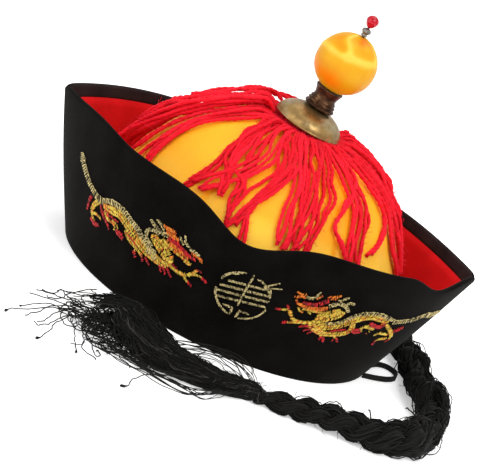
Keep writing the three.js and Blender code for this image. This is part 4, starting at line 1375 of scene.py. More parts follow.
def lining_half(angles, droops, side):
    """The lining's grid over one panel: rows from the bottom to the top outside, then back down inside."""
    rings, uvs = [], []
    outside = WALL + LINING["gap"]
    inside = outside + LINING["thickness"]
    count = LINING["rows"]
    for angle in angles:
        top = float(edge_height(angle, droops)) - FACING_DEPTH - LINING["gap"]
        rows = np.linspace(LINING["bottom"], top, count)
        pucker = LINING["pucker"] * math.sin(angle * 1.9) * np.linspace(0, 1, count) ** 6
        heights = np.concatenate([rows, rows[::-1]])
        insets = np.concatenate([np.full(count, outside), inside + pucker[::-1]])
        rings.append(wall_point(np.full(len(heights), angle), heights, insets, droops))
        uvs.append(np.stack([np.full(len(heights), math.radians(angle) * BOTTOM_RADIUS), heights], -1))
    rings = np.array(rings)
    rings[..., 1] *= side
    return rings, np.array(uvs)


def make_lining():
    """The red lining, one closed band round the inside of both panels."""
    angles = panel_angles(LINING["columns"])
    front, front_uv = lining_half(angles, FRONT_DROOPS, 1)
    back, back_uv = lining_half(angles[::-1], [], -1)
    rings = np.concatenate([front[:-1], back[:-1]])
    uv = np.concatenate([front_uv[:-1], back_uv[:-1] + [0.5, 0]])
    faces = grid_faces(len(rings), rings.shape[1], closed_rows=True, closed_columns=True)
    faces = [face[::-1] for face in faces]
    piece = mesh_piece("lining_cloth", rings.reshape(-1, 3), faces, [LINING_CLOTH], uv=uv.reshape(-1, 2))
    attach(piece, "root")
    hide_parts("brim_lining")


make_brim("velvet_front", "brim_front", FRONT_DROOPS, 1)
make_brim("velvet_back", "brim_back", [], -1)
make_lining()


# Crown


def dome_profile(turn):
    """Radius and height of the dome where a turn of 0 degrees is its top and 90 its shoulder."""
    turn = np.radians(turn)
    radius = CROWN_RADIUS * np.sin(turn) ** (2 / FULLNESS)
    height = SHOULDER + (CROWN_TOP - SHOULDER) * np.clip(np.cos(turn) ** 2, 0, 1) ** (1 / ROUNDNESS)
    return radius, height


def dome_point(angle, turn, lift=0.0):
    """A point above the dome's surface, along its normal."""
    angle, turn, lift = np.broadcast_arrays(np.asarray(angle, float), turn, lift)
    turn = np.clip(turn, 0.6, 90)
    radius, height = dome_profile(turn)
    step = 0.4
    radius_low, height_low = dome_profile(np.minimum(turn + step, 90))
    radius_high, height_high = dome_profile(np.maximum(turn - step, 0.2))
    slope = unit(np.stack([radius_low - radius_high, height_low - height_high], -1))
    radius = radius - slope[..., 1] * lift
    height = height + slope[..., 0] * lift
    bearing = np.radians(angle)
    lean = LEAN * np.minimum(height / LEAN_HEIGHT, 1)
    return np.stack([lean + radius * np.sin(bearing), -radius * np.cos(bearing), height], -1)


# Soft folds of the satin: their middle, their width and how far they stand out
FOLDS = table(
    "angle width out from_turn",
    (34, 3.0, 0.0010, 40),
    (54, 4.0, 0.0013, 38),
    (15, 5.0, 0.0008, 30),
    (-12, 6.0, 0.0009, 35),
    (-40, 7.0, 0.0008, 20),
    (112, 5.0, 0.0010, 35),
    (168, 6.0, 0.0009, 30),
    (-130, 5.0, 0.0010, 38),
)


def from_seam(angle):
    """Degrees to the nearest seam between gores, with its sign."""
    width = 360 / GORES
    return (angle - FIRST_SEAM + width / 2) % width - width / 2


# A seam's stitched line and the valley round it, and how many degrees wide they are
STITCHED_LINE = {"depth": 0.0011, "width": 0.55}
VALLEY = {"depth": 0.0007, "width": 3.2}
PUCKERS = {"height": 0.00028, "width": 2.6, "sharpness": 1.4}
SLACK_CLOTH = 0.0005
# The relief grows from nothing at the top to all of it at this turn, and a fold over this many degrees
FULL_RELIEF = 14
FOLD_RISE = 22


def crown_relief(angle, turn):
    """How far the satin stands off the plain dome: seams, their puckers, folds and slack."""
    off = from_seam(angle)
    open_turn = np.clip(turn / FULL_RELIEF, 0, 1)
    groove = -STITCHED_LINE["depth"] * hill(off, STITCHED_LINE["width"])
    groove = groove - VALLEY["depth"] * hill(off, VALLEY["width"])
    pucker = PUCKERS["height"] * np.sin(turn * 2.9 + 3 * np.sin(turn * 0.31 + angle))
    pucker = pucker * np.exp(-((np.abs(off) / PUCKERS["width"]) ** PUCKERS["sharpness"]))
    slack = SLACK_CLOTH * np.sin(np.radians(angle) * 11 + turn * 0.06) * np.sin(np.radians(turn * 2))
    total = groove + pucker + slack
    for fold in FOLDS:
        bend = fold["angle"] + 2.5 * np.sin(turn * 0.09 + fold["angle"])
        rise = np.clip((turn - fold["from_turn"]) / FOLD_RISE, 0, 1)
        total = total + fold["out"] * rise * hill(degrees_from(angle, bend), fold["width"])
    return total * open_turn


# The satin's painted shade under the fringe: on the front down to a turn, and all round at the top
FRONT_SHADE = {"depth": 0.70, "angle": 25, "width": 58, "down_to": 54, "over": 24}
TOP_SHADE = {"depth": 0.30, "down_to": 26}
# Its painted light, a paler band low down: all round, and on the right of the front besides
PAINTED_LIGHT_BAND = {"all_round": 0.45, "right": 0.50, "angle": 42, "width": 48, "from_turn": 47, "over": 18}


def painted_fringe_shade(angle, turn):
    """How much deeper the satin is painted between the strands, most of all high up on the front: painted shade.
    """
    front = hill(degrees_from(angle, FRONT_SHADE["angle"]), FRONT_SHADE["width"])
    high = np.clip((FRONT_SHADE["down_to"] - turn) / FRONT_SHADE["over"], 0, 1)
    top = np.clip(1 - turn / TOP_SHADE["down_to"], 0, 1)
    return FRONT_SHADE["depth"] * high * front + TOP_SHADE["depth"] * top


def painted_low_light(angle, turn):
    """How much paler the satin is painted low down, most of all on the right of the front: painted light."""
    right = hill(degrees_from(angle, PAINTED_LIGHT_BAND["angle"]), PAINTED_LIGHT_BAND["width"])
    low = np.clip((turn - PAINTED_LIGHT_BAND["from_turn"]) / PAINTED_LIGHT_BAND["over"], 0, 1)
    return low * (PAINTED_LIGHT_BAND["all_round"] + PAINTED_LIGHT_BAND["right"] * right)


# The hem and the inside take a tone part way to the satin's painted shade and its painted glow
CROWN = {"columns": 288, "inside_rings": 22, "hem_tone": 0.5, "inside_turns": (82, 6), "inside_lift": 1.25}
# The dome's rings outside, from the top down: finer at the gathers
CROWN_TURNS = np.concatenate([np.linspace(0.8, 20, 16, endpoint=False), np.linspace(20, 90, 56)])
# The level rings below the shoulder
WALL_HEIGHTS = (0.022, 0.016, 0.012)
HEM_TOP_RADIUS = 0.0903
SEAM_SHADE = {"depth": 0.55, "width": 0.9}


def make_crown():
    """The satin dome: outside from the top down, round the hem, and up again inside."""
    columns = CROWN["columns"]
    angles = FIRST_SEAM + np.arange(columns) * 360 / columns
    bearing = np.radians(angles)
    rings, uvs, tones = [], [], []

    def level_ring(radius, height, deep):
        lean = LEAN * min(height / LEAN_HEIGHT, 1)
        ring = np.stack(
            [lean + radius * np.sin(bearing), -radius * np.cos(bearing), np.full(columns, height)], -1
        )
        rings.append(ring)
        uvs.append(np.stack([bearing * CROWN_RADIUS, np.full(columns, height)], -1))
        tones.append(np.full(columns, deep))

    def dome_ring(turn, lift, shades):
        rings.append(dome_point(angles, turn, lift))
        uvs.append(np.stack([bearing * CROWN_RADIUS, np.full(columns, -math.radians(turn) * CROWN_RADIUS)], -1))
        tones.append(shades)

    for turn in CROWN_TURNS:
        # Painted shade at the seams and under the fringe, and painted light low down
        seam_shade = SEAM_SHADE["depth"] * hill(from_seam(angles), SEAM_SHADE["width"])
        deeper = np.clip(seam_shade + painted_fringe_shade(angles, turn), 0, 1)
        shades = SATIN_MIDDLE + (1 - SATIN_MIDDLE) * deeper - SATIN_MIDDLE * painted_low_light(angles, turn)
        dome_ring(turn, crown_relief(angles, turn), shades)
    for height in WALL_HEIGHTS:
        level_ring(CROWN_RADIUS, height, SATIN_MIDDLE)
    inner = CROWN_RADIUS - CROWN_WALL
    hem_rings = [(HEM_TOP_RADIUS, HEM["end"]), (HEM["radius"], HEM["top"]), (HEM["sewn_radius"], HEM["bottom"])]
    hem_rings += [(inner, HEM["bottom"]), (inner, SHOULDER)]
    for radius, height in hem_rings:
        level_ring(radius, height, CROWN["hem_tone"])
    for turn in np.linspace(*CROWN["inside_turns"], CROWN["inside_rings"]):
        dome_ring(turn, -CROWN_WALL * CROWN["inside_lift"], np.full(columns, CROWN["hem_tone"]))
    points = np.vstack(rings)
    faces = grid_faces(len(rings), columns, closed_columns=True)
    faces.append(list(range(columns)))
    faces.append([(len(rings) - 1) * columns + columns - 1 - i for i in range(columns)])
    faces = [face[::-1] for face in faces]
    piece = mesh_piece("satin_crown", points, faces, [SATIN], uv=np.vstack(uvs), tones=np.concatenate(tones))
    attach(piece, "root")
    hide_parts("crown")


make_crown()


# Fringe


# Locks of yarn on the photo's side: strands, how high their middle and their end lie, (angle, turn) points
FRONT_LOCKS = [
    (
        3, 0.0030, 0.0018,
        [(-62, 8), (-61, 14), (-62, 20), (-65, 27), (-68, 35), (-68, 42), (-67, 49), (-65, 62)],
    ),
    (
        2, 0.0040, 0.0026,
        [(-78, 7), (-70, 13), (-66, 19), (-67, 26), (-71, 33), (-72, 41), (-71, 49), (-71, 65)],
    ),
    (
        2, 0.0044, 0.0030,
        [(-84, 7), (-82, 13), (-75, 18), (-72, 25), (-77, 33), (-77, 42), (-78, 50), (-81, 68)],
    ),
    (
        2, 0.0056, 0.0050,
        [(-98, 7), (-92, 13), (-80, 18), (-76, 25), (-80, 35), (-84, 45), (-88, 55), (-98, 70)],
    ),
    (
        2, 0.0080, 0.0080,
        [(-96, 7), (-84, 12), (-77, 18), (-75, 25), (-81, 35), (-83, 45), (-89, 55), (-99, 71)],
    ),
    (
        2, 0.0102, 0.0096,
        [(-86, 7), (-76, 12), (-71, 19), (-73, 26), (-78, 35), (-83, 46), (-90, 55), (-93, 70)],
    ),
    (2, 0.0098, 0.0100, [(-112, 8), (-98, 13), (-84, 18), (-80, 25), (-83, 33), (-90, 42), (-102, 58)]),
    (1, 0.0110, 0.0112, [(-150, 9), (-136, 12), (-112, 16), (-91, 19), (-84, 25), (-86, 33), (-91, 38)]),
    (1, 0.0102, 0.0104, [(-135, 9), (-114, 13), (-93, 17), (-90, 23), (-87, 30), (-90, 36), (-96, 43)]),
    (3, 0.0032, 0.0022, [(-104, 7), (-98, 18), (-92, 32), (-91, 46), (-94, 66)]),
    (2, 0.0058, 0.0040, [(-112, 7), (-106, 18), (-100, 32), (-98, 46), (-104, 66)]),
    (3, 0.0024, 0.0020, [(-54, 8), (-42, 19), (-38, 31), (-36, 41), (-36, 49), (-39, 57)]),
    (3, 0.0030, 0.0022, [(-46, 8), (-35, 19), (-32, 32), (-30, 41), (-25, 49), (-22, 55)]),
    (3, 0.0028, 0.0018, [(-36, 8), (-27, 26), (-23, 37), (-20, 45), (-18, 52), (-17, 61)]),
    (2, 0.0044, 0.0030, [(-28, 8), (-21, 29), (-24, 39), (-29, 45), (-32, 50), (-36, 55)]),
    (2, 0.0040, 0.0028, [(-20, 8), (-15, 26), (-19, 40), (-24, 47), (-30, 52), (-35, 56)]),
    (1, 0.0046, 0.0030, [(-40, 8), (-36, 30), (-30, 40), (-23, 42), (-18, 45), (-19, 52)]),
    (1, 0.0046, 0.0030, [(-38, 8), (-34, 36), (-28, 43), (-25, 48), (-24, 54)]),
    (3, 0.0026, 0.0018, [(-24, 8), (-11, 24), (-9, 34), (-12, 45), (-14, 55), (-16, 63)]),
    (3, 0.0034, 0.0022, [(-16, 8), (-5, 25), (-4, 34), (-9, 44), (-12, 53), (-13, 62)]),
    (2, 0.0034, 0.0022, [(-10, 8), (0, 27), (-4, 38), (-10, 50), (-10, 57), (-7, 65)]),
    (3, 0.0036, 0.0022, [(-8, 8), (1, 24), (4, 35), (4, 45), (5, 52), (6, 61)]),
    (3, 0.0024, 0.0016, [(2, 8), (7, 28), (9, 38), (9, 48), (9, 60)]),
    (3, 0.0034, 0.0020, [(12, 8), (14, 26), (14, 39), (13, 49), (12, 60)]),
    (2, 0.0024, 0.0016, [(20, 8), (19, 25), (17, 38), (16, 48), (14, 60)]),
    (2, 0.0034, 0.0020, [(22, 8), (25, 33), (21, 42), (18, 51), (16, 59)]),
    (2, 0.0036, 0.0022, [(38, 8), (43, 23), (39, 31), (31, 38), (27, 45), (31, 51), (34, 58)]),
    (3, 0.0026, 0.0018, [(42, 8), (46, 25), (49, 33), (46, 41), (42, 49), (42, 59)]),
    (3, 0.0040, 0.0024, [(32, 8), (36, 27), (40, 36), (38, 44), (36, 51), (36, 59)]),
    (2, 0.0036, 0.0022, [(52, 8), (60, 26), (66, 33), (64, 40), (58, 46), (47, 54)]),
    (4, 0.0028, 0.0020, [(64, 8), (74, 24), (76, 36), (72, 45), (73, 55), (80, 64)]),
    (4, 0.0036, 0.0024, [(74, 8), (82, 20), (83, 32), (84, 43), (86, 54), (86, 66)]),
    (4, 0.0054, 0.0030, [(96, 8), (96, 20), (94, 32), (92, 43), (90, 54), (92, 65)]),
    (4, 0.0066, 0.0034, [(112, 8), (106, 20), (102, 32), (98, 44), (96, 56)]),
]
# Short strands that stand up beside the cup
CUP_TUFTS = [
    (1, 0.0100, 0.0104, [(-168, 9), (-152, 12), (-128, 15), (-108, 18)]),
    (1, 0.0086, 0.0090, [(-160, 9), (-145, 12), (-126, 15), (-112, 20)]),
    (3, 0.0072, 0.0060, [(118, 7), (124, 12), (128, 19)]),
]
LOCK_SPACING = 0.0021
# Strands that lie low over the satin are pressed down to a share of their lift
PRESSED = {"below": 0.0040, "blend": 0.0022, "share": 0.72}
YARN_RADIUS = 0.00124
FRINGE = {"steps": 84, "sides": 8, "lobes": 0.24, "clear": 1.05, "shortest": 0.06}
# The strands rise out of the cup over these turns
CUP_MOUTH = {"turn": 6.0, "over": 6.5}
FUZZ = {"radius": 0.00009, "length": (0.0006, 0.0019), "steps": 3, "sides": 3}
PLY_TWIST = 820.0
BACK_LOCKS = {"count": 20, "from": 122, "to": 244, "strands": (3, 5), "lift": (0.0022, 0.0050), "end": (52, 66)}


def back_locks(random):
    """Locks round the side that the photo doesn't show, of the same kind."""
    locks = []
    for i in range(BACK_LOCKS["count"]):
        share = (i + 0.5) / BACK_LOCKS["count"]
        start = BACK_LOCKS["from"] + (BACK_LOCKS["to"] - BACK_LOCKS["from"]) * share
        sway = random.normal(0, 4, 4)
        end = random.uniform(*BACK_LOCKS["end"])
        turns = np.linspace(24, end, 4)
        path = [(start, 8)] + [(start + s * t / 40, t) for s, t in zip(sway, turns)]
        lift = random.uniform(*BACK_LOCKS["lift"])
        locks.append((int(random.integers(*BACK_LOCKS["strands"])), lift, lift * 0.6, path))
    return locks


def lock_strands(random, lock, steps):
    """The strands of one lock, side by side, each with its own waves and end."""
    strands, middle_lift, end_lift, points = lock
    line = np.array([(points[0][0], 5.0), *points], float)
    plan = spline(line, steps * 2)
    share = np.linspace(0, 1, steps)
    paths = []
    for k in range(strands):
        end = 1 - random.uniform(0.0, FRINGE["shortest"])
        index = np.linspace(0, end, steps) * (len(plan) - 1)
        angle = np.interp(index, np.arange(len(plan)), plan[:, 0])
        turn = np.interp(index, np.arange(len(plan)), plan[:, 1])
        radius = dome_profile(turn)[0]
        beside = (k - (strands - 1) / 2) * LOCK_SPACING * (0.75 + 0.35 * np.sin(math.pi * share))
        wave = smooth_noise(random, steps, steps * 0.13, amount=0.0008)[0]
        wave = wave + smooth_noise(random, steps, steps * 0.4, amount=0.0008)[0]
        wave *= np.clip(share * 4, 0, 1)
        angle = angle + np.degrees((beside + wave) / np.maximum(radius, 0.012))
        low = YARN_RADIUS * FRINGE["clear"]
        rough = smooth_noise(random, steps, steps * 0.14, amount=0.0005)[0]
        lift = middle_lift + (end_lift - middle_lift) * share**2 + random.uniform(-0.0006, 0.0006) + rough
        out_of_cup = np.clip((turn - CUP_MOUTH["turn"]) / CUP_MOUTH["over"], 0, 1)
        out_of_cup = out_of_cup * out_of_cup * (3 - 2 * out_of_cup)
        lift = low + np.maximum(lift - low, 0) * out_of_cup
        loose = np.clip((lift - PRESSED["below"]) / PRESSED["blend"], 0, 1)
        lift = low + (lift - low) * (PRESSED["share"] + (1 - PRESSED["share"]) * loose)
        paths.append(dome_point(angle, turn, lift))
    return paths


def make_fringe(name, locks, seed, hairs):
    """One side's locks of two-ply yarn, and the fuzz that stands out of them as a piece of its own."""
    random = np.random.default_rng(seed)
    steps = FRINGE["steps"]
    paths = []
    for lock in locks:
        paths.extend(lock_strands(random, lock, steps))
    paths = np.array(paths)
    radii = YARN_RADIUS * random.uniform(0.86, 1.12, (len(paths), 1))
    radii = radii * (1 + smooth_noise(random, steps, length=5, amount=0.035, width=len(paths)))
    own_tones = random.uniform(0, 1, len(paths))
    points, faces, uv, tones = strands_part(
        paths, radii, FRINGE["sides"], own_tones, lobes=FRINGE["lobes"], twist=PLY_TWIST
    )
    piece = mesh_piece(name, points, faces, [RED_YARN], uv=uv, tones=tones)
    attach(piece, "root")
    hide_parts("fringe")
    fuzz = standing_hairs(random, paths, radii, hairs, FUZZ["steps"], FUZZ["length"])
    own_tones = random.uniform(0, 1, len(fuzz))
    points, faces, uv, tones = strands_part(fuzz, FUZZ["radius"], FUZZ["sides"], own_tones)
    soft = mesh_piece(name + "_fuzz", points, faces, [RED_YARN], uv=uv, tones=tones)
    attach(soft, "root")


make_fringe("fringe_front", FRONT_LOCKS + CUP_TUFTS, 31, 4200)
make_fringe("fringe_back", back_locks(np.random.default_rng(7)), 37, 2600)


# Finial


def stand_finial(piece, node):
    """Leans a piece that was made about Z from the cup's rim up, as the finial leans."""
    lean = Matrix.Translation(Vector(FINIAL_AT)) @ Matrix.Rotation(math.radians(FINIAL_LEAN), 4, "Y")
    piece.data.transform(lean)
    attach(piece, "root")
    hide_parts(node)


CUP_STEPS = {"outside": 26, "inside": 12}
# The cup's rolled lip: how far out of its radius, and the height
CUP_LIP = [(-0.0010, -0.0001), (-0.0004, -0.0004), (0.0002, -0.0002), (0.0003, 0.0004)]


def make_cup():
    """A low bell with a rolled lip, dented a little."""
    rows = []
    steps = CUP_STEPS["outside"]
    for i in range(steps + 1):
        turn = i / steps * math.pi / 2
        rows.append((CUP_RADIUS * math.cos(turn) ** 0.92, CUP_HEIGHT * math.sin(turn) ** 1.04))
    rows[-1] = (0.0, CUP_HEIGHT)
    lip = [(CUP_RADIUS + out, height) for out, height in CUP_LIP]
    inside = []
    steps = CUP_STEPS["inside"]
    for i in range(steps, -1, -1):
        turn = i / steps * math.pi / 2
        inside.append(((CUP_RADIUS - CUP_WALL) * math.cos(turn), (CUP_HEIGHT - CUP_WALL) * math.sin(turn)))
    inside[0] = (0.0, CUP_HEIGHT - CUP_WALL)
    points, faces = lathe(inside + lip + rows[1:], 96)
    bearing = np.arctan2(points[:, 0], -points[:, 1])
    dent = 0.00022 * np.sin(bearing * 3 + 1) * np.sin(points[:, 2] * 420) + 0.00015 * np.sin(bearing * 5 + 2)
    across = np.hypot(points[:, 0], points[:, 1]) / CUP_RADIUS
    points[:, :2] *= (1 + dent / CUP_RADIUS * across)[:, None]
    stand_finial(mesh_piece("brass_cup", points, faces, [BRASS]), "finial_cup")


def make_neck():
    """A turned neck with two fine rings, narrow in the middle and open towards the ball."""
    base = CUP_HEIGHT + 0.0003
    rows = [(0.0, 0.0), (0.0084, 0.0), (0.0089, 0.0004), (0.0091, 0.0010), (0.0089, 0.0016), (0.0080, 0.0020)]
    rows += [(0.0076, 0.0023), (0.0082, 0.0027), (0.0085, 0.0032), (0.0082, 0.0037), (0.0075, 0.0040)]
    rows += [(0.0072, 0.0043), (0.0077, 0.0047), (0.0078, 0.0051), (0.0073, 0.0055), (0.0069, 0.0060)]
    rows += [(0.0067, 0.0070), (0.0068, 0.0080), (0.0072, 0.0092), (0.0077, 0.0105), (0.0081, 0.0115)]
    rows += [
        (0.0083, 0.0121), (0.0081, 0.0125), (0.0076, 0.0125), (0.0066, 0.0121), (0.0040, 0.0110), (0.0, 0.0103)
    ]
    points, faces = lathe([(radius, base + height) for radius, height in rows], 72)
    stand_finial(mesh_piece("bronze_neck", points, faces, [BRONZE]), "finial_neck")


# The ball's silk, as strokes over it: the turn down from the pin and the bearing of each point, the stroke's
# width, how far it stands out in mm, and how much paler (less than 0) or deeper it is: paler is a painted
# highlight, deeper a painted shade
SILK_STROKES = table(
    "points width out tone",
    ([(77, -89), (73, -50), (71, -23), (67, 3), (64, 30), (59, 60)], 7.5, 0.45, -0.38),
    ([(14, -50), (36, -40), (47, -25), (58, -13), (68, -8)], 6.5, 0.40, -0.34),
    ([(20, 95), (37, 71), (59, 63)], 6, 0.30, -0.30),
    ([(46, -62), (55, -44), (61, -31)], 11, -0.30, 0.26),
    ([(16, 20), (26, 4)], 9, -0.25, 0.55),
    ([(46, 18), (51, 45)], 7, -0.20, 0.12),
    ([(112, -88), (118, -55), (122, -20)], 21, 0.15, 0.46),
    ([(128, -15), (128, 15), (126, 45)], 17, 0.10, 0.30),
    ([(90, -28), (86, 5), (84, 41)], 12, -0.15, 0.02),
    ([(95, 120), (70, 150), (60, 180), (75, -150), (80, -120)], 9, 0.40, -0.38),
    ([(15, 150), (40, 165), (62, 178)], 8, 0.35, -0.30),
    ([(120, 90), (122, 150), (120, -150), (121, -110)], 20, 0.15, 0.55),
)
BALL_TONE = 0.36
BALL_RINGS = 90
BALL_COLUMNS = 120
# The creases under the pin: how many, how high, how far down they reach in radians, and their tones
GATHERS = {
    "count": 9, "height": 0.00022, "open": 0.2, "reach": 0.7, "tone": 0.10, "pin": 0.16, "pin_tone": 0.35
}


def on_sphere(points):
    """Unit vectors from rows of turn down from the pin and bearing."""
    polar, bearing = np.radians(np.asarray(points, float)).T
    return np.stack([np.sin(polar) * np.sin(bearing), -np.sin(polar) * np.cos(bearing), np.cos(polar)], -1)


def silk_strokes(places):
    """The relief in mm and the tone that the strokes give to unit vectors; the tone paints highlights and shade.
    """
    relief, tones = np.zeros(len(places)), np.full(len(places), BALL_TONE)
    for stroke in SILK_STROKES:
        corners = on_sphere(stroke["points"])
        line = unit(spline(corners, 40) if len(corners) > 2 else even(corners, 40))
        away = np.degrees(np.arccos(np.clip((places @ line.T).max(axis=1), -1, 1)))
        near = hill(away, stroke["width"])
        relief += stroke["out"] * near
        tones += stroke["tone"] * near
    return relief, tones


def make_ball():
    """Silk drawn over a ball: soft creases run down from the gathers under the pin."""
    rings, columns = BALL_RINGS, BALL_COLUMNS
    polar = np.linspace(0.02, math.pi - 0.02, rings)
    bearing = np.arange(columns) / columns * FULL_TURN
    p, b = np.meshgrid(polar, bearing, indexing="ij")
    places = np.stack([np.sin(p) * np.sin(b), -np.sin(p) * np.cos(b), np.cos(p)], -1).reshape(-1, 3)
    relief, tones = silk_strokes(places)
    fade = hill(p, GATHERS["reach"]) * np.clip(p / GATHERS["open"], 0, 1)
    gathers = np.sin(b * GATHERS["count"] + 0.8 * np.sin(b * 2 + 1)) * fade
    relief = relief * MILLIMETRE + (gathers * GATHERS["height"]).reshape(-1)
    tones = tones + (GATHERS["tone"] * gathers + GATHERS["pin_tone"] * hill(p, GATHERS["pin"])).reshape(-1)
    points = places * (BALL_RADIUS - 0.0004 + relief)[:, None] + [0, 0, BALL_HEIGHT]
    faces = [face[::-1] for face in grid_faces(rings, columns, closed_columns=True)]
    faces.append([(rings - 1) * columns + i for i in range(columns)][::-1])
    faces.append(list(range(columns)))
    uv = np.stack([b * BALL_RADIUS, p * BALL_RADIUS], -1).reshape(-1, 2)
    piece = mesh_piece("silk_ball", points, faces, [BALL_SILK], uv=uv, tones=tones)
    stand_finial(piece, "finial_ball")


def make_pin():
    """The thin pin between the ball and the bead."""
    low = BALL_HEIGHT + BALL_RADIUS + 0.0003
    high = BEAD_HEIGHT - BEAD_RADIUS - 0.0001
    rows = [(0.0, low - 0.0006), (0.0007, low - 0.0006), (0.0007, high), (0.0, high)]
    points, faces = lathe(rows, 24)
    stand_finial(mesh_piece("steel_pin", points, faces, [STEEL]), "finial_pin")


def make_spacer():
    """A dull grey bead on a collar, dented a little."""
    low = BALL_HEIGHT + BALL_RADIUS + 0.0001
    rows = [
        (0.0008, 0.0), (0.0017, 0.0002), (0.0018, 0.0010), (0.0015, 0.0016), (0.0020, 0.0021), (0.0026, 0.0028)
    ]
    rows += [(0.0027, 0.0036), (0.0023, 0.0044), (0.0016, 0.0049), (0.0008, 0.0051), (0.0008, 0.0)]
    points, faces = lathe([(radius, low + height) for radius, height in rows], 36)
    bearing = np.arctan2(points[:, 0], -points[:, 1])
    points[:, :2] *= (1 + 0.07 * np.sin(bearing * 4 + 0.5) * np.sin(points[:, 2] * 1500))[:, None]
    stand_finial(mesh_piece("grey_spacer", points, faces, [STEEL]), "finial_spacer")


BEAD_STEPS = 28


def make_bead():
    """The glossy red bead, a drop that is narrower below."""
    rows = []
    for i in range(BEAD_STEPS + 1):
        turn = i / BEAD_STEPS * math.pi
        stretch = 1.0 + 0.10 * max(math.cos(turn), 0)
        narrow = 1.0 - 0.16 * max(math.cos(turn), 0) ** 0.7
        rows.append(
            (BEAD_RADIUS * narrow * math.sin(turn), BEAD_HEIGHT - BEAD_RADIUS * stretch * math.cos(turn))
        )
    rows[0] = (0.0, rows[0][1])
    rows[-1] = (0.0, rows[-1][1])
    points, faces = lathe(rows, 48)
    stand_finial(mesh_piece("red_bead", points, faces, [BEAD_RED]), "finial_bead")


make_cup()
make_neck()
make_ball()
make_pin()
make_spacer()
make_bead()


# Embroidery


CHART_UNIT = 0.001
GOLD, SILVER, YELLOW, ORANGE, RED = range(5)
THREADS = [GOLD_THREAD, SILVER_THREAD, YELLOW_THREAD, ORANGE_THREAD, RED_THREAD]

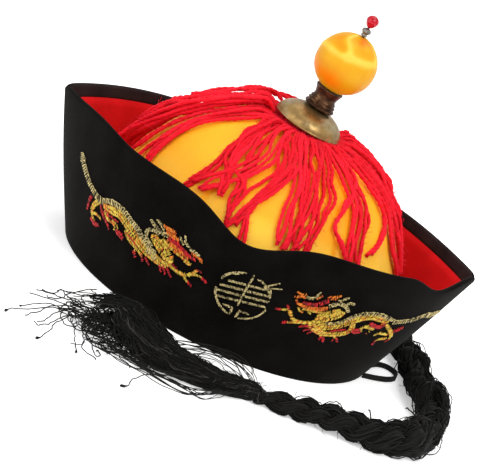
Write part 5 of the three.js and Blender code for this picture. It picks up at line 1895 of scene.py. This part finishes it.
# The left dragon, as strokes of thread: (thread, rows of angle, height in mm and half width in mm).
# The angle grows away from the roundel. Later strokes lie over earlier ones.
DRAGON_LEFT = [
    (YELLOW, [(45.5, 38.6, 1.3), (42.2, 39.6, 2.1), (39, 40.8, 2.4), (36.2, 39.4, 2.5), (33.6, 37.0, 2.6),
              (31, 34.9, 2.7), (28, 33.0, 2.7), (25, 31.9, 2.5), (22.4, 31.2, 2.1), (20.6, 31.3, 1.4)]),
    (YELLOW, [(20.3, 33.2, 2.0), (21.0, 36.2, 2.9), (23.2, 38.6, 3.0), (25.6, 40.8, 2.4), (26.2, 42.8, 1.6)]),
    (YELLOW, [(23.8, 42.8, 1.6), (22.2, 41.6, 1.6), (20.6, 40.0, 1.4)]),
    (YELLOW, [(21.4, 30.4, 1.0), (20, 32.6, 1.2), (19.4, 35.0, 1.2), (19.8, 37.2, 1.0)]),
    (YELLOW, [(35.5, 35.4, 1.2), (34.6, 33.0, 1.2), (32.6, 31.4, 1.2), (30.4, 30.3, 1.1), (28.6, 28.6, 0.7)]),
    (YELLOW, [(19.4, 32.6, 1.0), (17, 31.6, 1.0), (14.6, 31.8, 0.9), (12.8, 34.0, 0.9), (11.6, 37.4, 0.6)]),
    (YELLOW, [(14.8, 31.6, 0.8), (13.9, 30.0, 0.7), (13, 29.2, 0.5)]),
    (YELLOW, [(12.7, 34.1, 0.7), (11, 35.0, 0.6), (9.8, 34.9, 0.5)]),
    (YELLOW, [(31.2, 30.4, 0.9), (31.1, 28.4, 0.6)]),
    (YELLOW, [(48, 38.6, 1.2), (50, 35.2, 1.3), (51.2, 31.6, 1.1), (50.4, 28.6, 0.8), (49.2, 27.2, 0.5)]),
    (YELLOW, [(50.2, 30.6, 0.8), (48.2, 31.6, 0.7), (46.2, 30.9, 0.4)]),
    (YELLOW, [(44.8, 36.8, 1.1), (43, 34.0, 1.0), (40.8, 34.4, 1.0), (39.8, 32.8, 0.7), (40, 31.4, 0.4)]),
    (YELLOW, [(41, 34.9, 0.7), (39.2, 35.0, 0.6), (38.6, 33.2, 0.4)]),
    (YELLOW, [(22.6, 42.6, 0.8), (20, 41.2, 0.8), (17.8, 40.2, 0.8), (15.6, 39.4, 0.7), (14, 38.8, 0.6),
              (14.6, 38.0, 0.5), (15.8, 38.4, 0.4)]),
    (SILVER, [(59.4, 53.4, 0.9), (58.9, 51.6, 2.1), (58.2, 49.8, 2.4), (57.1, 47.9, 2.0), (55, 44.8, 1.7),
              (52, 41.9, 1.7), (48.5, 40.0, 1.8), (45.2, 40.6, 1.8)]),
    (SILVER, [(45, 41.9, 1.4), (42, 43.8, 1.4), (39, 44.6, 1.4), (36.5, 43.9, 1.4), (34, 42.0, 1.4),
              (31.2, 40.0, 1.4), (29, 37.0, 1.4), (26.5, 35.0, 1.3), (24.2, 34.4, 1.2)]),
    (SILVER, [(27.2, 33.4, 1.4), (25.4, 32.4, 1.5), (23.8, 31.6, 1.2)]),
    (SILVER, [(26, 36.6, 0.9), (28, 39.0, 1.0), (28.5, 41.8, 1.0), (27.6, 44.2, 1.0), (25.8, 45.0, 0.9),
              (24.6, 44.6, 0.8)]),
    (SILVER, [(28.2, 49.2, 0.6), (26.8, 47.8, 0.8), (25, 46.6, 0.9)]),
    (SILVER, [(26.2, 51.4, 0.6), (24.8, 50.0, 0.8), (23.6, 48.4, 0.9)]),
    (SILVER, [(25.2, 46.8, 1.2), (23.6, 46.2, 1.3), (22, 46.6, 1.0)]),
    (ORANGE, [(24, 50.2, 0.7), (22.6, 49.7, 1.1), (21, 50.2, 1.0), (20.3, 49.4, 0.6)]),
    (ORANGE, [(23.2, 47.8, 1.1), (21, 47.6, 1.2), (19, 47.3, 1.0)]),
    (ORANGE, [(22, 44.0, 1.1), (19.6, 43.0, 1.2), (17, 41.8, 1.1), (15, 40.9, 0.7)]),
    (ORANGE, [(14.4, 44.6, 0.9), (12.9, 44.2, 0.9), (11.2, 43.4, 0.5)]),
    (ORANGE, [(45.8, 39.6, 0.8), (44, 37.8, 1.0), (43, 36.4, 0.6)]),
    (RED, [(21.6, 45.4, 1.0), (19.4, 44.8, 1.3), (17.2, 43.6, 1.2), (15, 42.4, 1.0), (13, 42.2, 0.9)]),
    (RED, [(20.6, 46.5, 0.7), (19, 46.3, 0.9)]),
    (SILVER, [(17.5, 51.4, 0.4), (17.1, 48.8, 0.6), (15.9, 46.9, 0.7)]),
    (SILVER, [(18.8, 49.6, 0.4), (18.1, 47.8, 0.5), (17.2, 46.6, 0.5)]),
    (SILVER, [(15.8, 46.4, 0.8), (13.9, 45.9, 0.7), (12.2, 45.0, 0.6)]),
    (ORANGE, [(12.4, 43.4, 0.35), (11.0, 42.4, 0.25)]),
    (RED, [(13, 29.2, 0.9), (11.7, 28.4, 0.8)]),
    (RED, [(9.7, 34.9, 0.9), (8.1, 33.8, 0.8)]),
    (RED, [(11.6, 37.5, 0.6), (10.3, 37.6, 0.6)]),
    (RED, [(22.4, 30.2, 0.7), (21.4, 27.0, 0.5)]),
    (RED, [(21.2, 30.2, 0.8), (19.8, 26.6, 0.5)]),
    (RED, [(20.0, 30.6, 0.7), (18.1, 27.2, 0.5)]),
    (RED, [(18.9, 34.0, 0.6), (17.4, 33.0, 0.7)]),
    (RED, [(28.8, 29.2, 0.7), (27.8, 26.4, 0.7)]),
    (RED, [(27.2, 29.0, 0.7), (25.6, 26.6, 0.5)]),
    (RED, [(31.4, 28.4, 0.8), (30.6, 26.0, 0.9)]),
    (RED, [(51.6, 38.2, 0.9), (52.6, 35.4, 1.0), (53.2, 32.0, 0.8), (53.6, 29.6, 0.5)]),
    (RED, [(50.8, 27.1, 0.9), (48.8, 26.3, 1.1), (46.8, 27.4, 0.8)]),
    (RED, [(46.8, 37.6, 0.9), (45.8, 35.4, 1.1), (44.6, 33.4, 1.0), (43, 31.8, 0.8), (42, 29.6, 0.5)]),
    (RED, [(43.4, 36.0, 0.7), (41, 36.6, 0.6), (38.8, 36.6, 0.4)]),
    (RED, [(39.1, 31.8, 1.1), (37.2, 31.4, 1.5), (36.0, 30.2, 1.1)]),
    (RED, [(34.4, 34.0, 0.5), (32.2, 32.9, 0.6), (30.4, 31.4, 0.5)]),
]
# The right dragon, in the same columns
DRAGON_RIGHT = [
    (YELLOW, [(45, 47.0, 1.1), (42, 48.0, 1.6), (38.5, 48.8, 2.0), (35.8, 47.2, 2.1), (34, 44.8, 2.1),
              (32.5, 42.4, 2.2), (30.8, 39.8, 2.4), (28.5, 37.6, 2.5), (26.5, 36.2, 2.4), (24.8, 35.6, 2.0)]),
    (YELLOW, [(34.4, 42.0, 1.3), (35.2, 38.8, 1.6), (34.5, 35.8, 1.5), (32, 33.8, 1.5), (29.2, 32.4, 1.5),
              (26.8, 32.6, 1.5), (24.5, 34.0, 1.6)]),
    (YELLOW, [(22.4, 37.3, 1.8), (23.4, 34.8, 2.0), (25, 33.2, 1.6), (27.2, 31.6, 1.0)]),
    (YELLOW, [(23.4, 38.0, 2.0), (25, 40.4, 2.2), (27, 43.0, 2.1), (28.4, 45.4, 1.8), (28.8, 47.6, 1.3)]),
    (YELLOW, [(23, 40.5, 1.3), (24.5, 43.2, 1.6), (26.2, 45.8, 1.6), (27.6, 48.0, 1.3)]),
    (YELLOW, [(21.5, 35.2, 1.0), (19.5, 34.5, 1.0), (17.5, 34.8, 1.0), (16, 36.8, 0.9), (15, 38.8, 0.8),
              (14.2, 39.8, 0.6)]),
    (YELLOW, [(14.5, 38.8, 0.6), (13.5, 37.8, 0.6), (12.6, 37.4, 0.5)]),
    (YELLOW, [(19, 33.8, 0.7), (17.5, 32.8, 0.7), (16.6, 32.0, 0.5)]),
    (YELLOW, [(27.6, 31.4, 0.8), (28, 30.2, 0.6)]),
    (YELLOW, [(31.5, 32.8, 0.8), (32.8, 31.4, 0.6)]),
    (YELLOW, [(42.2, 41.2, 1.0), (39.2, 42.2, 1.1), (38, 41.0, 0.9), (38.8, 38.8, 0.6)]),
    (YELLOW, [(41.8, 40.0, 0.8), (41.5, 37.8, 0.5)]),
    (YELLOW, [(45.5, 45.2, 0.9), (47.0, 43.6, 1.0), (49.5, 41.0, 1.1), (51.8, 37.8, 1.0), (52.4, 35.2, 0.7)]),
    (YELLOW, [(49.4, 38.4, 0.8), (46.2, 39.0, 0.8), (44.8, 37.2, 0.5)]),
    (YELLOW, [(51, 35.9, 0.8), (48, 34.8, 0.8), (47.4, 33.2, 0.5)]),
    (YELLOW, [(24, 44.0, 0.9), (22, 43.2, 0.8), (20, 42.8, 0.7), (18, 42.2, 0.6)]),
    (YELLOW, [(16.9, 42.0, 0.6), (17.4, 40.6, 0.5), (18.4, 40.2, 0.4)]),
    (YELLOW, [(19.8, 41.8, 0.5), (20.6, 41.0, 0.4)]),
    (SILVER, [(70.5, 52.6, 0.9), (67, 52.0, 1.7), (63, 51.8, 2.0), (59.6, 52.6, 1.7), (57, 51.8, 1.4),
              (55, 50.4, 1.4), (52.5, 49.0, 1.4), (49.5, 48.0, 1.4), (47, 47.4, 1.3)]),
    (SILVER, [(46.8, 48.4, 1.0), (43.5, 49.8, 1.1), (40.5, 51.0, 1.1), (37.5, 51.0, 1.1), (34.8, 49.8, 1.1),
              (32.8, 47.8, 1.1), (31.8, 45.4, 1.0), (30.8, 43.0, 1.0), (29.6, 41.0, 0.9), (28, 39.4, 0.9),
              (26.2, 38.8, 0.7)]),
    (SILVER, [(29.8, 48.6, 0.9), (28.4, 51.0, 1.0), (26.2, 51.8, 1.1), (24.8, 50.4, 1.1), (23.8, 48.4, 0.9)]),
    (SILVER, [(25.5, 53.0, 0.9), (26.5, 55.4, 0.8), (27.2, 56.8, 0.6)]),
    (SILVER, [(27.4, 52.4, 0.9), (28.8, 54.0, 0.8), (30, 53.6, 0.7)]),
    (ORANGE, [(23.8, 46.8, 1.2), (21.5, 44.8, 1.2), (19.2, 43.9, 1.1), (17.2, 43.8, 0.9), (15.8, 44.2, 0.6)]),
    (ORANGE, [(15, 45.4, 0.6), (16, 44.4, 0.5)]),
    (ORANGE, [(14.2, 46.8, 0.5), (15.2, 47.8, 0.9), (16, 48.8, 0.9), (16.8, 48.2, 0.7)]),
    (ORANGE, [(14.2, 49.9, 0.4), (15.4, 49.5, 0.7), (16.4, 50.0, 0.6)]),
    (ORANGE, [(22.2, 53.6, 0.9), (23.5, 53.6, 1.3), (24.2, 54.8, 1.0), (25, 56.0, 0.5)]),
    (ORANGE, [(19.8, 50.2, 0.6), (20.5, 52.8, 0.5)]),
    (ORANGE, [(44.8, 46.6, 0.7), (43.4, 45.2, 0.8)]),
    (RED, [(22.8, 51.3, 1.1), (21.8, 49.2, 1.3), (20.8, 47.2, 1.2), (18.8, 46.0, 1.0), (17, 45.6, 0.8)]),
    (SILVER, [(16.8, 49.4, 0.8), (18.2, 49.2, 0.9), (19.2, 51.5, 0.7), (19.4, 54.6, 0.4)]),
    (RED, [(14.2, 39.8, 0.7), (13.8, 41.2, 0.7)]),
    (RED, [(12.6, 37.4, 0.8), (11.4, 37.0, 0.8)]),
    (RED, [(16.6, 32.2, 0.9), (15.2, 31.0, 0.9)]),
    (RED, [(28.2, 30.4, 0.7), (28.3, 28.0, 0.6)]),
    (RED, [(28.8, 30.4, 0.7), (30, 27.4, 0.6)]),
    (RED, [(32.9, 31.4, 0.8), (32.2, 29.4, 0.7)]),
    (RED, [(33.2, 31.4, 0.7), (34.2, 29.6, 0.6)]),
    (RED, [(35.6, 38.0, 1.2), (37.2, 38.4, 1.8), (38.4, 38.2, 1.0)]),
    (RED, [(39, 45.7, 0.8), (41.2, 43.6, 1.2), (43.8, 43.2, 1.2), (45, 45.2, 0.8)]),
    (RED, [(50.4, 40.0, 1.2), (51.4, 42.0, 1.5), (52.8, 43.8, 1.1)]),
    (RED, [(47.4, 33.4, 0.7), (47.6, 31.0, 0.7)]),
    (RED, [(52.4, 35.4, 0.6), (51.6, 33.6, 0.6)]),
    (RED, [(29.5, 35.0, 0.6), (31.2, 36.4, 0.7), (33.2, 37.9, 0.6)]),
    (RED, [(23.4, 34.6, 0.7), (21.5, 33.4, 0.8), (20, 32.0, 0.5)]),
    (RED, [(23.8, 33.6, 0.8), (22.1, 30.6, 0.5)]),
    (RED, [(24.8, 33.0, 0.7), (23.7, 29.8, 0.5)]),
]
# Floss stitches lie side by side across a stroke. Metal thread winds along it in flat coils.
FLOSS = {"step": 0.00047, "radius": 0.00026, "arch": 0.00058, "longest": 0.0022, "slant": 0.38, "skipped": 0.05}
COIL = {"pitch": 0.00120, "radius": 0.00026, "height": 0.00062, "steps": 12, "sides": 5, "least": 0.00022}
# A floss stitch from end to end: its steps, its sides and its girth at each step
STITCH = {"steps": 5, "sides": 4, "girths": np.array([0.5, 1.0, 1.08, 1.0, 0.5])}
# The share of yellow stitches that are orange
ORANGE_SHARE = 0.13
STITCH_LOW = 0.00018
STITCH_LAYER = 0.000008


def on_brim(angle, height, lift):
    """A point over the front panel."""
    point = outer_face(angle, height)
    point[..., 1] -= SEAM_GAP
    return point + outward(angle, height) * np.asarray(lift)[..., None]


def chart_rows(rows):
    """A stroke's rows as flat metres: along the brim, up it, and half the stroke's width."""
    rows = np.array(rows, float)
    return np.column_stack(
        [np.radians(rows[:, 0]) * BOTTOM_RADIUS, rows[:, 1] * CHART_UNIT, rows[:, 2] * CHART_UNIT]
    )


def stroke_line(flat, step, least):
    """Even steps along a stroke, and the direction across it at each."""
    count = max(int(line_length(flat[:, :2]) / step), least)
    line = spline(flat, count) if len(flat) > 2 else even(flat, count)
    forward = unit(np.gradient(line[:, :2], axis=0))
    return line, np.stack([-forward[:, 1], forward[:, 0]], -1), forward


def floss_stitches(random, rows):
    """The two ends of each floss stitch across a stroke."""
    line, aside, forward = stroke_line(chart_rows(rows), FLOSS["step"], 3)
    stitches = []
    for i, half in enumerate(line[:, 2]):
        if random.uniform(0, 1) < FLOSS["skipped"]:
            continue
        parts = max(int(math.ceil(2 * half / FLOSS["longest"])), 1)
        edges = np.linspace(-half, half, parts + 1)
        edges[1:-1] += random.uniform(-0.3, 0.3) * half / parts
        edges += random.normal(0, 0.00012, parts + 1)
        for low, high in zip(edges, edges[1:]):
            lean = forward[i] * FLOSS["slant"] * (high - low) / 2
            middle = line[i, :2] + random.normal(0, 0.00005, 2)
            stitches.append((middle + aside[i] * low - lean, middle + aside[i] * high + lean))
    return stitches


def coil_path(random, rows, to_brim, layer):
    """A metal thread wound flat along a stroke, as a path over the brim."""
    line, aside, forward = stroke_line(chart_rows(rows), COIL["pitch"] / COIL["steps"], COIL["steps"])
    phase = np.arange(len(line)) / COIL["steps"] * FULL_TURN
    phase += smooth_noise(random, len(line), COIL["steps"] * 1.3, amount=0.9)[0]
    reach = np.maximum(line[:, 2] - COIL["radius"] * 0.6, COIL["least"])
    reach = reach * (1 + smooth_noise(random, len(line), COIL["steps"], amount=0.12)[0])
    ground = line[:, :2] + aside * (reach * np.cos(phase))[:, None]
    ground = ground + forward * (COIL["least"] * np.sin(2 * phase))[:, None]
    angle, height = to_brim(ground[:, 0], ground[:, 1])
    lift = STITCH_LOW + COIL["radius"] + layer + COIL["height"] * (0.5 + 0.5 * np.sin(phase + 0.6))
    return on_brim(angle, height, lift)


def coil_part(random, rows, to_brim, layer):
    """A coil of metal thread, its tone painted with glints and dark gaps: painted highlight and shade."""
    path = coil_path(random, rows, to_brim, layer)
    points, faces, uv = tubes(path[None], COIL["radius"], COIL["sides"])
    # Painted glints and shade along the coil
    painted_glint = 0.54 + smooth_noise(random, len(path), length=3, amount=0.42)[0]
    return points, faces, uv, np.repeat(np.clip(painted_glint, 0, 1), COIL["sides"])


def floss_part(random, ends, lifts, to_brim):
    """Arched stitches between pairs of ends."""
    share = np.linspace(0, 1, STITCH["steps"])
    flat = ends[:, :1] + (ends[:, 1:] - ends[:, :1]) * share[None, :, None]
    angle, height = to_brim(flat[..., 0], flat[..., 1])
    arch = np.sin(math.pi * share) ** 0.6
    size = np.linalg.norm(ends[:, 1] - ends[:, 0], axis=1)
    rise = np.clip(size / FLOSS["longest"], 0.4, 1) * FLOSS["arch"]
    lift = STITCH_LOW + np.array(lifts)[:, None] + rise[:, None] * arch
    paths = on_brim(angle, height, lift)
    radii = FLOSS["radius"] * STITCH["girths"]
    return strands_part(
        paths, np.broadcast_to(radii, paths.shape[:2]), STITCH["sides"], random.uniform(0, 1, len(ends))
    )


def embroidered(name, node, strokes, to_brim, seed):
    """A piece of embroidery on the brim. to_brim turns flat chart points to angle and height."""
    random = np.random.default_rng(seed)
    parts, slots = [], []
    stitch_ends, stitch_threads, stitch_lifts = [], [], []
    for order, (thread, rows) in enumerate(strokes):
        layer = order * STITCH_LAYER
        if thread in (GOLD, SILVER):
            parts.append(coil_part(random, rows, to_brim, layer))
            slots.append(np.full(len(parts[-1][1]), thread))
            continue
        for ends in floss_stitches(random, rows):
            other = random.uniform(0, 1)
            stitch_ends.append(ends)
            stitch_threads.append(ORANGE if thread == YELLOW and other < ORANGE_SHARE else thread)
            stitch_lifts.append(layer + random.uniform(0, 0.00016))
    if stitch_ends:
        parts.append(floss_part(random, np.array(stitch_ends), stitch_lifts, to_brim))
        threads = np.array(stitch_threads)
        # The sides of all the stitches come first, then two ends for each
        quads = (STITCH["steps"] - 1) * STITCH["sides"]
        slots.append(np.concatenate([np.repeat(threads, quads), np.repeat(threads, 2)]))
    points, faces, uv, tones = join_parts(*parts)
    slots = np.concatenate(slots)
    used = sorted(set(slots.tolist()))
    slots = np.searchsorted(used, slots)
    piece = mesh_piece(name, points, faces, [THREADS[t] for t in used], uv=uv, tones=tones, slots=slots)
    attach(piece, "root")
    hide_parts(node)


def make_dragon(name, node, side, strokes, seed):
    def to_brim(x, z):
        return side * np.degrees(x / BOTTOM_RADIUS), z

    embroidered(name, node, strokes, to_brim, seed)


ROUNDEL = {"angle": 2.0, "height": 35.6, "radius": 12.2, "degrees_per_mm": 0.6, "slant": 0.24}


def arc_rows(start, end, radius, half, steps=12):
    """Rows of a round stroke of the roundel, with the turn from the right, anticlockwise."""
    turns = np.radians(np.linspace(start, end, steps))
    return [(radius * math.cos(t), radius * math.sin(t), half) for t in turns]


def roundel_strokes():
    """A round fret: a ring in four arcs, a stem, slanted bars, and hooks turned in at the bottom."""
    radius, slant = ROUNDEL["radius"], ROUNDEL["slant"]
    strokes = [arc_rows(104, 160, radius, 0.5), arc_rows(24, 78, radius, 0.5)]
    strokes += [arc_rows(186, 258, radius, 0.6), arc_rows(282, 352, radius, 0.5)]
    strokes.append([(0.4, radius + 0.8, 0.45), (0, 4, 0.5), (-0.2, -5.4, 0.45)])
    bars = ((6.6, -8.6, 9.2), (3.4, -11.2, 10.8), (0.2, -11.6, 11.6), (-3.0, -10.8, 11.2))
    for y, left, right in bars:
        strokes.append([(left, y + slant * left, 0.6), (-0.9, y - slant * 0.9, 0.65)])
        strokes.append([(0.9, y + slant * 0.9, 0.65), (right, y + slant * right, 0.6)])
    for side in (-1, 1):
        strokes.append([(side * 1.5, 0.2 - radius, 0.5), (side * 1.6, -10.2, 0.55), (side * 1.7, -8.4, 0.5)])
        hook = [(side * 1.7, -8.0, 0.55), (side * 4.0, -8.0 + side * slant, 0.55)]
        strokes.append(hook + [(side * 6.2, -8.0 + side * 2 * slant, 0.45)])
    strokes.append([(-10.8, 6.6, 0.4), (-8.6, 8.8, 0.45), (-5.6, 9.8, 0.4)])
    strokes.append([(10.6, 6.0, 0.4), (9.6, 9.0, 0.45), (7.4, 10.6, 0.4)])
    strokes.append([(6.2, 9.4, 0.3), (9.0, 12.2, 0.3), (11.6, 14.8, 0.25)])
    strokes.append([(6.6, 9.0, 0.3), (10.4, 10.8, 0.3), (13.6, 12.2, 0.25)])
    return [(GOLD, rows) for rows in strokes]


def make_roundel():
    def to_brim(x, z):
        return ROUNDEL["angle"] + np.degrees(x / BOTTOM_RADIUS), z

    strokes = []
    for thread, rows in roundel_strokes():
        moved = [(x * ROUNDEL["degrees_per_mm"], ROUNDEL["height"] + y, half) for x, y, half in rows]
        strokes.append((thread, moved))
    embroidered("gold_roundel", "roundel", strokes, to_brim, 3)


make_dragon("stitched_dragon_left", "dragon_left", -1, DRAGON_LEFT, 41)
make_dragon("stitched_dragon_right", "dragon_right", 1, DRAGON_RIGHT, 43)
make_roundel()


# Ribbon loop


LOOP_PLAN = [
    (0.0964, -0.0070), (0.1020, 0.0015), (0.1080, 0.0045), (0.1130, 0.0010),
    (0.1134, -0.0070), (0.1086, -0.0155), (0.1010, -0.0225), (0.0922, -0.0284),
]
TAPE = {"width": 0.0031, "thickness": 0.0008, "floor_gap": 0.0001, "rise": 0.00015, "steps": 90, "tilt": 14}


def make_ribbon_loop():
    """A narrow tape on its edge, that twists a little on its way round."""
    steps = TAPE["steps"]
    flat = spline(LOOP_PLAN, steps)
    forward = unit(np.gradient(flat, axis=0))
    aside = np.column_stack([-forward[:, 1], forward[:, 0], np.zeros(steps)])
    share = np.linspace(0, 1, steps)
    tilt = np.radians(TAPE["tilt"]) * np.sin(math.pi * share * 2 + 0.5)
    upright = np.array([0, 0, 1.0])
    up = upright * np.cos(tilt)[:, None] + aside * np.sin(tilt)[:, None]
    out = aside * np.cos(tilt)[:, None] - upright * np.sin(tilt)[:, None]
    half, thin = TAPE["width"] / 2, TAPE["thickness"] / 2
    section = [(-half, -thin), (-half * 0.5, -thin * 1.1), (half * 0.5, -thin * 1.1), (half, -thin)]
    section += [(half, thin), (half * 0.5, thin * 1.1), (-half * 0.5, thin * 1.1), (-half, thin)]
    centre = np.column_stack([flat, np.full(steps, half + TAPE["floor_gap"] + TAPE["rise"])])
    rings = np.stack([centre + up * h + out * t for h, t in section], 1)
    points = above_floor(rings.reshape(-1, 3), TAPE["floor_gap"])
    width = len(section)
    travelled = share * line_length(flat)
    uv = np.stack([np.repeat(travelled, width), np.tile(np.arange(width) / width, steps)], -1)
    piece = mesh_piece("ribbon_tape", points, closed_grid(steps, width), [RIBBON], uv=uv, smooth=False)
    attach(piece, "root")
    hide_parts("ribbon_loop")


make_ribbon_loop()


# Floor and light


# The pale floor is lit a little from below, as a light table is
FLOOR_GLOW = 0.42
FLOOR_REACH = 6.0


def make_stage():
    """The pale paper under the hat."""
    made, tree, shader = new_material(
        "floor", Roughness=0.9, Specular_IOR_Level=0.1, Emission_Strength=FLOOR_GLOW,
        Emission_Color=(1, 1, 1, 1),
    )
    paper = noise(tree, place(tree), scale=40, detail=2)
    feed(tree, shader, Base_Color=grey_ramp(tree, paper, (0.2, 0.95), (0.8, 0.97)))
    corners = [(x * FLOOR_REACH, y * FLOOR_REACH, 0) for x, y in ((-1, -1), (1, -1), (1, 1), (-1, 1))]
    floor = mesh_piece("floor", corners, [[0, 1, 2, 3]], [made], smooth=False)


# Soft lights: where they stand, their width, their power in watts
LIGHTS = table(
    "name at width power",
    ("key", (0.7, -1.1, 1.5), 1.0, 14),
    ("fill", (-1.4, -0.9, 0.9), 1.2, 8.5),
    ("top", (0.0, 0.5, 1.8), 1.4, 10),
)
WORLD_STRENGTH = 0.82


def make_lights():
    """Soft lights that face the hat, and an even white surround."""
    for row in LIGHTS:
        data = bpy.data.lights.new(row["name"], "AREA")
        data.energy = row["power"]
        data.size = row["width"]
        light = bpy.data.objects.new(row["name"], data)
        light.location = row["at"]
        aim = Vector(CAMERA["target"]) - Vector(row["at"])
        light.rotation_euler = aim.to_track_quat("-Z", "Y").to_euler()
        bpy.context.scene.collection.objects.link(light)
    world = bpy.data.worlds.new("studio")
    world.use_nodes = True
    background = world.node_tree.nodes["Background"]
    background.inputs["Color"].default_value = (1, 1, 1, 1)
    background.inputs["Strength"].default_value = WORLD_STRENGTH
    bpy.context.scene.world = world
    bpy.context.scene.view_settings.view_transform = "Standard"
    bpy.context.scene.view_settings.look = "None"


make_stage()
make_lights()
